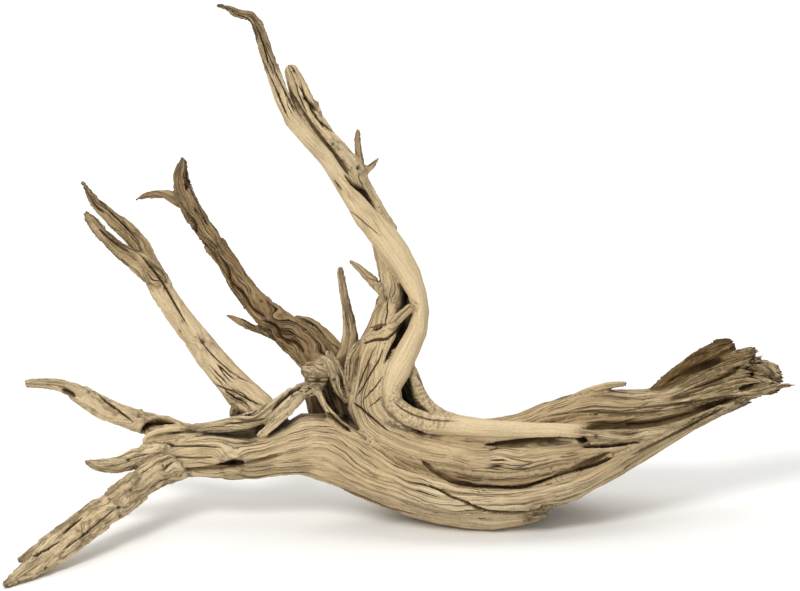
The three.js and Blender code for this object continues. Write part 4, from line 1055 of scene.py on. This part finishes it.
def fluted_grain(add, marks, given):
    """Furrows and sharp ridges along the fibres, coarser on wood that isn't pale."""
    flutes = add(NOISE, {}, Vector=marks["grain"], Scale=FLUTES_PER_MM, Detail=1.5)
    flutes = add(MATH, TIMES, add(MATH, MINUS, flutes, 0.5), given["Flute Depth"])
    ridges = add(NOISE, {}, Vector=marks["grain"], Scale=RIDGES_PER_MM, Roughness=0.55)
    ridges = add(MATH, UNSIGNED, add(MATH, MINUS, ridges, 0.5))
    ridges = add(MATH, MINUS, add(RANGE, SMOOTH, ridges, 0.0, 0.12), 0.7)
    coarse = add(MATH, MINUS, 1.2, marks["pale"])
    coarse = add(MATH, TIMES_PLUS, marks["broken"], 0.9, coarse)
    height = add(MATH, TIMES, flutes, 3.0)
    height = add(MATH, TIMES_PLUS, ridges, given["Ridge Depth"], height)
    return add(MATH, TIMES, height, coarse)


def lost_plates(add, marks):
    """Steps where rough wood has lost short plates of its outer fibres."""
    shard = add(VECTOR, TIMES, marks["grain"], PLATE_STRETCH)
    shard = add(CELLS, {}, Vector=shard, Scale=PLATES_PER_MM).outputs["Color"]
    plates = add(MATH, MINUS, add(PARTS, {}, Vector=shard), 0.5)
    return add(MATH, TIMES, plates, marks["rough"])


def swellings(add, marks):
    """Lumps of the wood as a whole, with knobs where it is rough."""
    lumps = add(NOISE, {}, Vector=marks["position_mm"], Scale=LUMPS_PER_MM, Detail=1.0)
    knobs = add(NOISE, {}, Vector=marks["position_mm"], Scale=KNOBS_PER_MM)
    knobs = add(MATH, TIMES, add(MATH, MINUS, knobs, 0.5), marks["rough"])
    return add(MATH, TIMES_PLUS, knobs, 1.6, add(MATH, MINUS, lumps, 0.5))


def relief_height(add, marks, given, crack, pit):
    """How far each point moves out, all the relief taken together."""
    height = fluted_grain(add, marks, given)
    height = add(MATH, TIMES_PLUS, lost_plates(add, marks), given["Plate Step"], height)
    height = add(MATH, TIMES, height, add(MATH, TIMES_PLUS, marks["seam"], -0.8, 1.0))
    height = add(MATH, TIMES_PLUS, swellings(add, marks), given["Lump Height"], height)
    height = add(MATH, TIMES_PLUS, marks["knot_mm"], MM, height)
    cuts = ((pit, given["Pit Depth"]), (crack, given["Crack Depth"]), (marks["wound_mm"], MM))
    for cut, depth in cuts:
        height = add(MATH, MINUS, height, add(MATH, TIMES, cut, depth))
    return height


def splinters(add, marks, given):
    """The broken end is torn into splinters, which reach out along the fibres."""
    torn = add(VECTOR, TIMES, marks["grain"], SPLINTER_STRETCH)
    torn = add(NOISE, {}, Vector=torn, Scale=SPLINTERS_PER_MM)
    torn = add(MATH, MINUS, torn, 0.62)
    torn = add(MATH, TIMES, torn, add(MATH, POWER, marks["broken"], 2.0))
    reach = add(MATH, TIMES, torn, given["Splinter Length"])
    return add(VECTOR, SCALED, marks["fibre"], Scale=reach)


def relief_tree(wood):
    """Geometry Nodes: pushes the surface in and out along the fibres' pattern."""
    tree = bpy.data.node_groups.new("Weathered grain", "GeometryNodeTree")
    face = tree.interface
    face.new_socket("Geometry", in_out="INPUT", socket_type="NodeSocketGeometry")
    for name in RELIEF_INPUTS:
        face.new_socket(name, in_out="INPUT", socket_type="NodeSocketFloat")
    face.new_socket("Geometry", in_out="OUTPUT", socket_type="NodeSocketGeometry")
    given = tree.nodes.new("NodeGroupInput").outputs
    add = partial(node, tree)
    marks = {}
    for name in ("cracked", "broken", "rough", "seam", "pale", "knot_mm", "wound_mm"):
        marks[name] = add("GeometryNodeInputNamedAttribute", {"data_type": "FLOAT"}, Name=name)
    for name in ("grain", "position_mm", "fibre"):
        marks[name] = add("GeometryNodeInputNamedAttribute", {"data_type": "FLOAT_VECTOR"}, Name=name)
    crack, weak = open_cracks(add, marks)
    pit = rotted_pits(add, marks)
    height = relief_height(add, marks, given, crack, pit)
    push = add(VECTOR, SCALED, add("GeometryNodeInputNormal", {}), Scale=height)
    moved = add(VECTOR, PLUS, push, splinters(add, marks, given))
    out = add("GeometryNodeSetPosition", {}, Geometry=given["Geometry"], Offset=moved)
    keep = {"weak": weak, "pit": pit, "height_mm": add(MATH, TIMES, height, 1 / MM)}
    for name, value in keep.items():
        out = add("GeometryNodeStoreNamedAttribute", {"data_type": "FLOAT", "domain": "POINT"},
                  Geometry=out, Name=name, Value=value)
    out = add("GeometryNodeSetShadeSmooth", {}, Geometry=out)
    out = add("GeometryNodeRealizeInstances", {}, Geometry=out)
    out = add("GeometryNodeSetMaterial", {}, Geometry=out, Material=wood)
    add("NodeGroupOutput", {}, out)
    return tree


def weathered(mesh, wood):
    """The surface with its relief, as a plain mesh."""
    thing = placed("driftwood_blank", mesh)
    tree = relief_tree(wood)
    worn = thing.modifiers.new("weathered grain", "NODES")
    worn.node_group = tree
    for item in tree.interface.items_tree:
        if item.name in RELIEF_INPUTS and item.in_out == "INPUT":
            worn[item.identifier] = RELIEF_INPUTS[item.name]
    worked = settled(thing)
    thing.modifiers.remove(worn)
    thing.data = worked
    thinned = thing.modifiers.new("fewer faces", "DECIMATE")
    thinned.ratio = FINISHED_FACES / (2 * len(worked.polygons))
    result = settled(thing)
    bpy.data.objects.remove(thing)
    stand(result)
    return result


def stand(mesh):
    """Presses whatever reaches below the ground flat onto it."""
    points = positions(mesh)
    points[:, 2] = np.maximum(points[:, 2], 0)
    move_to(mesh, points)


# -------------------------------------------------------------------------------- the wood

CREAM = linear("#D5BF98")  # smooth heartwood of the tall strand
SAND = linear("#E3CDA6")  # wood that the sun and sand reached
TAN = linear("#D1B88E")  # weathered wood
BROWN = linear("#7C6039")  # wood that stayed in the shade, darker and greyer
# dark brown of streaks and crumbs, and also painted shade inside grooves, in creases and beside wounds
UMBER_AND_GROOVE_SHADE = linear("#5C4420")  # inside of grooves
# near black of cracks, and also painted shade deep in hollows and in the middles of wounds
CRACK_AND_HOLLOW_SHADE = linear("#221403")  # bottom of cracks

# How many of each fine pattern lie in a millimetre. The real hair cracks and grain are finer
# than half a millimetre, and are drawn as wide as they need to be to show.
CLOSE_LINES_PER_MM = 0.16  # hair cracks 6 mm apart
WIDE_LINES_PER_MM = 0.08  # and longer ones 12 mm apart
THREADS_PER_MM = 0.3
FINE_PER_MM = 0.6
STREAKS_PER_MM = 0.3
BITS_PER_MM = 0.3
FOLDS_PER_MM = 0.5

# How many of each patch lie in a metre.
SHADES_PER_M = 9.0  # drifts of paler and darker wood, 110 mm across
GRIT_PER_M = 650.0  # blasted grit, coarser than the real one so that it shows
CLOSE_PATCHES_PER_M = 30.0
WIDE_PATCHES_PER_M = 16.0
THREAD_PATCHES_PER_M = 45.0

LINE_STRETCH = (1.0, 1.0, 0.45)  # hair lines run on along the fibres
BIT_STRETCH = (1.0, 1.0, 3.5)  # crumbs and flecks are short
FOLD_STRETCH = (0.3, 0.3, 12.0)  # wrinkles run across the fibres


def even_lines(add, marks, at, per_mm, half_mm, detail=1.5):
    """Thin lines of even width, 1 in their middle: where the noise crosses 0.5."""
    level = add(NOISE, {}, Vector=at, Scale=per_mm, Detail=detail)
    beside = add(VECTOR, TIMES_PLUS, marks["round_it"], (0.5, 0.5, 0.5), at)
    slope = add(NOISE, {}, Vector=beside, Scale=per_mm, Detail=detail)
    slope = add(MATH, UNSIGNED, add(MATH, MINUS, slope, level))
    slope = add(MATH, LARGER, add(MATH, TIMES, slope, 2.0), 0.1 * per_mm)
    gap = add(MATH, UNSIGNED, add(MATH, MINUS, level, 0.5))
    gap = add(MATH, OVER, gap, slope)
    return add(RANGE, SMOOTH, gap, 0.2 * half_mm, half_mm, 1.0, 0.0)


def come_and_go(add, marks, lines, per_m, low, high, detail=2.0):
    """Lets lines show in some places only."""
    where = add(NOISE, {}, Vector=marks["spot"], Scale=per_m, Detail=detail)
    return add(MATH, TIMES, lines, add(RANGE, SMOOTH, where, low, high))


def hair_cracks(add, marks):
    """Hair cracks along the fibres: close ones, wider ones, faint threads and open cracks."""
    close = even_lines(add, marks, marks["drawn"], CLOSE_LINES_PER_MM, 0.5)
    close = come_and_go(add, marks, close, CLOSE_PATCHES_PER_M, 0.42, 0.56)
    wide = even_lines(add, marks, marks["drawn"], WIDE_LINES_PER_MM, 0.75)
    wide = come_and_go(add, marks, wide, WIDE_PATCHES_PER_M, 0.45, 0.6, 1.0)
    hair = add(MATH, LARGER, close, wide)
    hair = add(MATH, TIMES, hair, add(RANGE, SMOOTH, marks["worked"], 0.2, 1.0))
    thread = even_lines(add, marks, marks["drawn"], THREADS_PER_MM, 0.45, 1.0)
    thread = come_and_go(add, marks, thread, THREAD_PATCHES_PER_M, 0.35, 0.6, 1.0)
    thread = add(MATH, TIMES, thread, add(RANGE, SMOOTH, marks["worked"], -0.3, 0.9))
    crack = add(VECTOR, TIMES, marks["grain"], CRACK_STRETCH)
    crack = even_lines(add, marks, crack, CRACKS_PER_MM, 0.9, 1.0)
    crack = add(MATH, TIMES, add(MATH, TIMES, crack, marks["weak"]), marks["whole"])
    return {"hair": hair, "thread": thread, "crack": crack}


def fine_grain(add, marks):
    """Streaks and fine lines along the fibres, crumbs and flecks where it is rough, and grit."""
    short = add(VECTOR, TIMES, marks["grain"], BIT_STRETCH)
    bits = add(NOISE, {}, Vector=short, Scale=BITS_PER_MM, Detail=3.0, Roughness=0.7)
    crumb = add(RANGE, SMOOTH, bits, 0.5, 0.36)
    fleck = add(RANGE, SMOOTH, bits, 0.54, 0.66)
    grain = {"Vector": marks["drawn"], "Detail": 3.0, "Roughness": 0.6}
    return {
        "fine": add(NOISE, {}, Scale=FINE_PER_MM, **grain),
        "streak": add(NOISE, {}, Scale=STREAKS_PER_MM, **grain),
        "broad": add(NOISE, {}, Vector=marks["spot"], Scale=SHADES_PER_M),
        "grit": add(NOISE, {}, Vector=marks["spot"], Scale=GRIT_PER_M, Detail=1.0),
        "crumb": add(MATH, TIMES, crumb, add(RANGE, SMOOTH, marks["rough"], 0.3, 1.1)),
        "fleck": add(MATH, TIMES, fleck, add(RANGE, SMOOTH, marks["rough"], 0.6, 1.2)),
    }


def wound_edges(add, marks):
    """The painted shade of a wound: its dark middle, and the soft shade beside it."""
    share = add(MATH, OVER, add(MATH, UNSIGNED, marks["wound_side_mm"]), marks["wound_half_mm"])
    there = add(RANGE, SMOOTH, marks["wound_share"], 2.4, 1.7)
    there = add(MATH, TIMES, there, marks["wound_black"])
    halo = add(MATH, TIMES, add(RANGE, SMOOTH, share, 1.5, 0.6), there)
    slit = add(MATH, TIMES, add(RANGE, SMOOTH, share, 0.95, 0.45), add(MATH, TIMES, there, there))
    return {"halo": halo, "slit": slit}


def wrinkles(add, marks):
    """Folds across the fibres, and the painted shade of the creases between them."""
    across = add(VECTOR, TIMES, marks["grain"], FOLD_STRETCH)
    folds = add(NOISE, {}, Vector=across, Scale=FOLDS_PER_MM)
    crease = add(RANGE, SMOOTH, folds, 0.5, 0.36)
    return {
        "folds": add(MATH, TIMES, folds, marks["wrinkled"]),
        "crease": add(MATH, TIMES, crease, marks["wrinkled"]),
    }


def wood_colour(add, marks):
    """One colour laid over another, each where its mark is, at the strength given."""
    worked = marks["worked"]
    dark_streak = add(MATH, TIMES, add(RANGE, SMOOTH, marks["streak"], 0.5, 0.3), worked)
    dark_line = add(MATH, TIMES, add(RANGE, SMOOTH, marks["fine"], 0.52, 0.36), worked)
    layers = [
        (add(RANGE, SMOOTH, marks["broad"], 0.35, 0.7), 1.0, SAND),
        (marks["pale"], 0.9, CREAM),
        (marks["brown"], 0.9, BROWN),
        (add(RANGE, SMOOTH, marks["brown"], 0.85, 1.5), 1.0, UMBER_AND_GROOVE_SHADE),
        (dark_streak, 0.5, UMBER_AND_GROOVE_SHADE),
        (dark_line, 0.35, UMBER_AND_GROOVE_SHADE),
        (add(RANGE, SMOOTH, marks["grit"], 0.5, 0.3), 0.2, UMBER_AND_GROOVE_SHADE),
        (marks["crumb"], 0.55, UMBER_AND_GROOVE_SHADE),
        (marks["fleck"], 0.35, SAND),
        (add(RANGE, SMOOTH, marks["streak"], 0.55, 0.75), 0.3, CREAM),
        (marks["seam"], 0.16, UMBER_AND_GROOVE_SHADE),
        # painted shade: the low places of the relief are darkened
        (add(RANGE, SMOOTH, marks["height_mm"], -0.2, -2.6), 0.45, UMBER_AND_GROOVE_SHADE),
        (marks["thread"], 0.55, UMBER_AND_GROOVE_SHADE),
        (marks["hair"], 0.75, CRACK_AND_HOLLOW_SHADE),
        # painted shade: hollows that little light from all round reaches are darkened to near black
        (add(RANGE, SMOOTH, marks["open_sky"], 0.45, 0.08), 0.9, CRACK_AND_HOLLOW_SHADE),
        (marks["pit"], 0.75, CRACK_AND_HOLLOW_SHADE),
        (marks["crack"], 1.0, CRACK_AND_HOLLOW_SHADE),
        (marks["knot_black"], 1.0, CRACK_AND_HOLLOW_SHADE),
        # painted shade inside the wounds and beside them
        (marks["halo"], 1.0, UMBER_AND_GROOVE_SHADE),
        (marks["slit"], 1.0, CRACK_AND_HOLLOW_SHADE),
        # painted shade in the creases between folds
        (marks["crease"], 0.4, UMBER_AND_GROOVE_SHADE),
    ]
    colour = TAN
    for where, strength, paint in layers:
        share = add(MATH, TIMES, where, strength)
        colour = add("ShaderNodeMix", COLOURS, share, i6=colour, i7=paint).outputs[2]
    return colour


def wood_bump(add, marks):
    """The relief that is too fine for the mesh: grain and folds stand up, and lines are cut in."""
    fine = add(MATH, TIMES, marks["fine"], 0.8)
    rise = add(MATH, TIMES_PLUS, marks["streak"], 0.8, fine)
    rise = add(MATH, TIMES, rise, marks["whole"])
    rise = add(MATH, TIMES_PLUS, marks["folds"], 3.0, rise)
    for name, depth in (("hair", 0.7), ("thread", 0.2), ("crumb", 0.8), ("halo", 1.0)):
        rise = add(MATH, MINUS, rise, add(MATH, TIMES, marks[name], depth))
    return add("ShaderNodeBump", {}, Strength=1.0, Distance=1.6 * MM, Height=rise)


def driftwood_material():
    """Sandblasted root wood: bone-dry, matt, with the pale late wood standing in fine ridges."""
    wood = bpy.data.materials.new("sandblasted_driftwood")
    wood.use_nodes = True
    tree = wood.node_tree
    tree.nodes.clear()
    add = partial(node, tree)
    marks = {"spot": add("ShaderNodeTexCoord", {}).outputs["Object"]}
    for name in ("grain", "round_it"):
        marks[name] = add("ShaderNodeAttribute", {"attribute_name": name}).outputs["Vector"]
    for name in ("pale", "brown", "rough", "seam", "weak", "pit", "height_mm", "open_sky", "wrinkled",
                 "knot_black", "wound_black", "wound_side_mm", "wound_half_mm", "wound_share"):
        marks[name] = add("ShaderNodeAttribute", {"attribute_name": name}).outputs["Fac"]
    marks["drawn"] = add(VECTOR, TIMES, marks["grain"], LINE_STRETCH)
    marks["whole"] = add(MATH, MINUS, 1.0, marks["seam"])
    marks["worked"] = add(MATH, TIMES, add(MATH, MINUS, 1.1, marks["pale"]), marks["whole"])
    for draw in (fine_grain, hair_cracks, wound_edges, wrinkles):
        marks |= draw(add, marks)
    surface = add("ShaderNodeBsdfPrincipled", {}, Base_Color=wood_colour(add, marks), Roughness=0.82,
                  IOR=1.5, Specular_IOR_Level=0.25, Normal=wood_bump(add, marks))
    add("ShaderNodeOutputMaterial", {}, Surface=surface)
    return wood


def make_driftwood():
    mesh = weathered(grown_surface(), driftwood_material())
    mesh.name = "driftwood"
    piece = placed("driftwood_wood", mesh)
    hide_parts("driftwood")
    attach(piece, "root")


# -------------------------------------------------------------------------------- the stage

FLOOR_HALF_M = 14
TARGET = (0.0, 0.0, 0.2)  # what the lights on the piece point at
LIGHTS = {  # place, target, width and power
    "key": ((-1.1, -1.9, 2.3), TARGET, 1.0, 56),
    "fill": ((2.2, -2.4, 1.0), TARGET, 2.0, 5),
    "top": ((0.2, 0.6, 2.8), TARGET, 2.0, 20),
    "back": ((0.0, 2.6, 2.4), (0.0, 2.2, 0.0), 2.4, 30),
}
SKY_STRENGTH = 0.56


def paper_material():
    """White paper: pale and matt, with nothing to see on it."""
    paper = bpy.data.materials.new("white_paper")
    paper.use_nodes = True
    surface = paper.node_tree.nodes["Principled BSDF"]
    surface.inputs["Base Color"].default_value = linear("#F4F4F2")
    surface.inputs["Roughness"].default_value = 0.9
    return paper


def make_floor():
    """A wide level sheet, pale enough to give the light back from all round."""
    mesh = bpy.data.meshes.new("floor")
    corners = [(x * FLOOR_HALF_M, y * FLOOR_HALF_M, 0) for x, y in ((-1, -1), (1, -1), (1, 1), (-1, 1))]
    mesh.from_pydata(corners, [], [(0, 1, 2, 3)])
    mesh.materials.append(paper_material())
    placed("floor", mesh)


def make_lights():
    for name, (place, target, width, power) in LIGHTS.items():
        lamp = bpy.data.lights.new(name, "AREA")
        lamp.shape = "DISK"
        lamp.size = width
        lamp.energy = power
        thing = placed(name, lamp)
        thing.location = place
        thing.rotation_euler = (Vector(target) - Vector(place)).to_track_quat("-Z", "Y").to_euler()
    world = bpy.data.worlds.new("studio")
    world.use_nodes = True
    sky = world.node_tree.nodes["Background"]
    sky.inputs["Color"].default_value = linear("#FFFFFF")
    sky.inputs["Strength"].default_value = SKY_STRENGTH
    bpy.context.scene.world = world
    bpy.context.scene.view_settings.view_transform = "Standard"


def make_camera():
    lens = bpy.data.cameras.new("camera")
    lens.sensor_width = SENSOR_MM
    lens.lens = SENSOR_MM * VIEW_DISTANCE_MM / VIEW_WIDTH_MM
    lens.clip_end = 50
    camera = placed("camera", lens)
    axes = plane_axes()
    x, z = VIEW_MIDDLE_MM
    centre = np.array([x, 0, z]) @ axes + PLANE_ZERO_MM
    camera.location = (centre - axes[1] * VIEW_DISTANCE_MM) * MM
    camera.rotation_euler = Euler((math.radians(90) - LEAN, 0, 0))
    bpy.context.scene.camera = camera


make_camera()
make_driftwood()
make_floor()
make_lights()
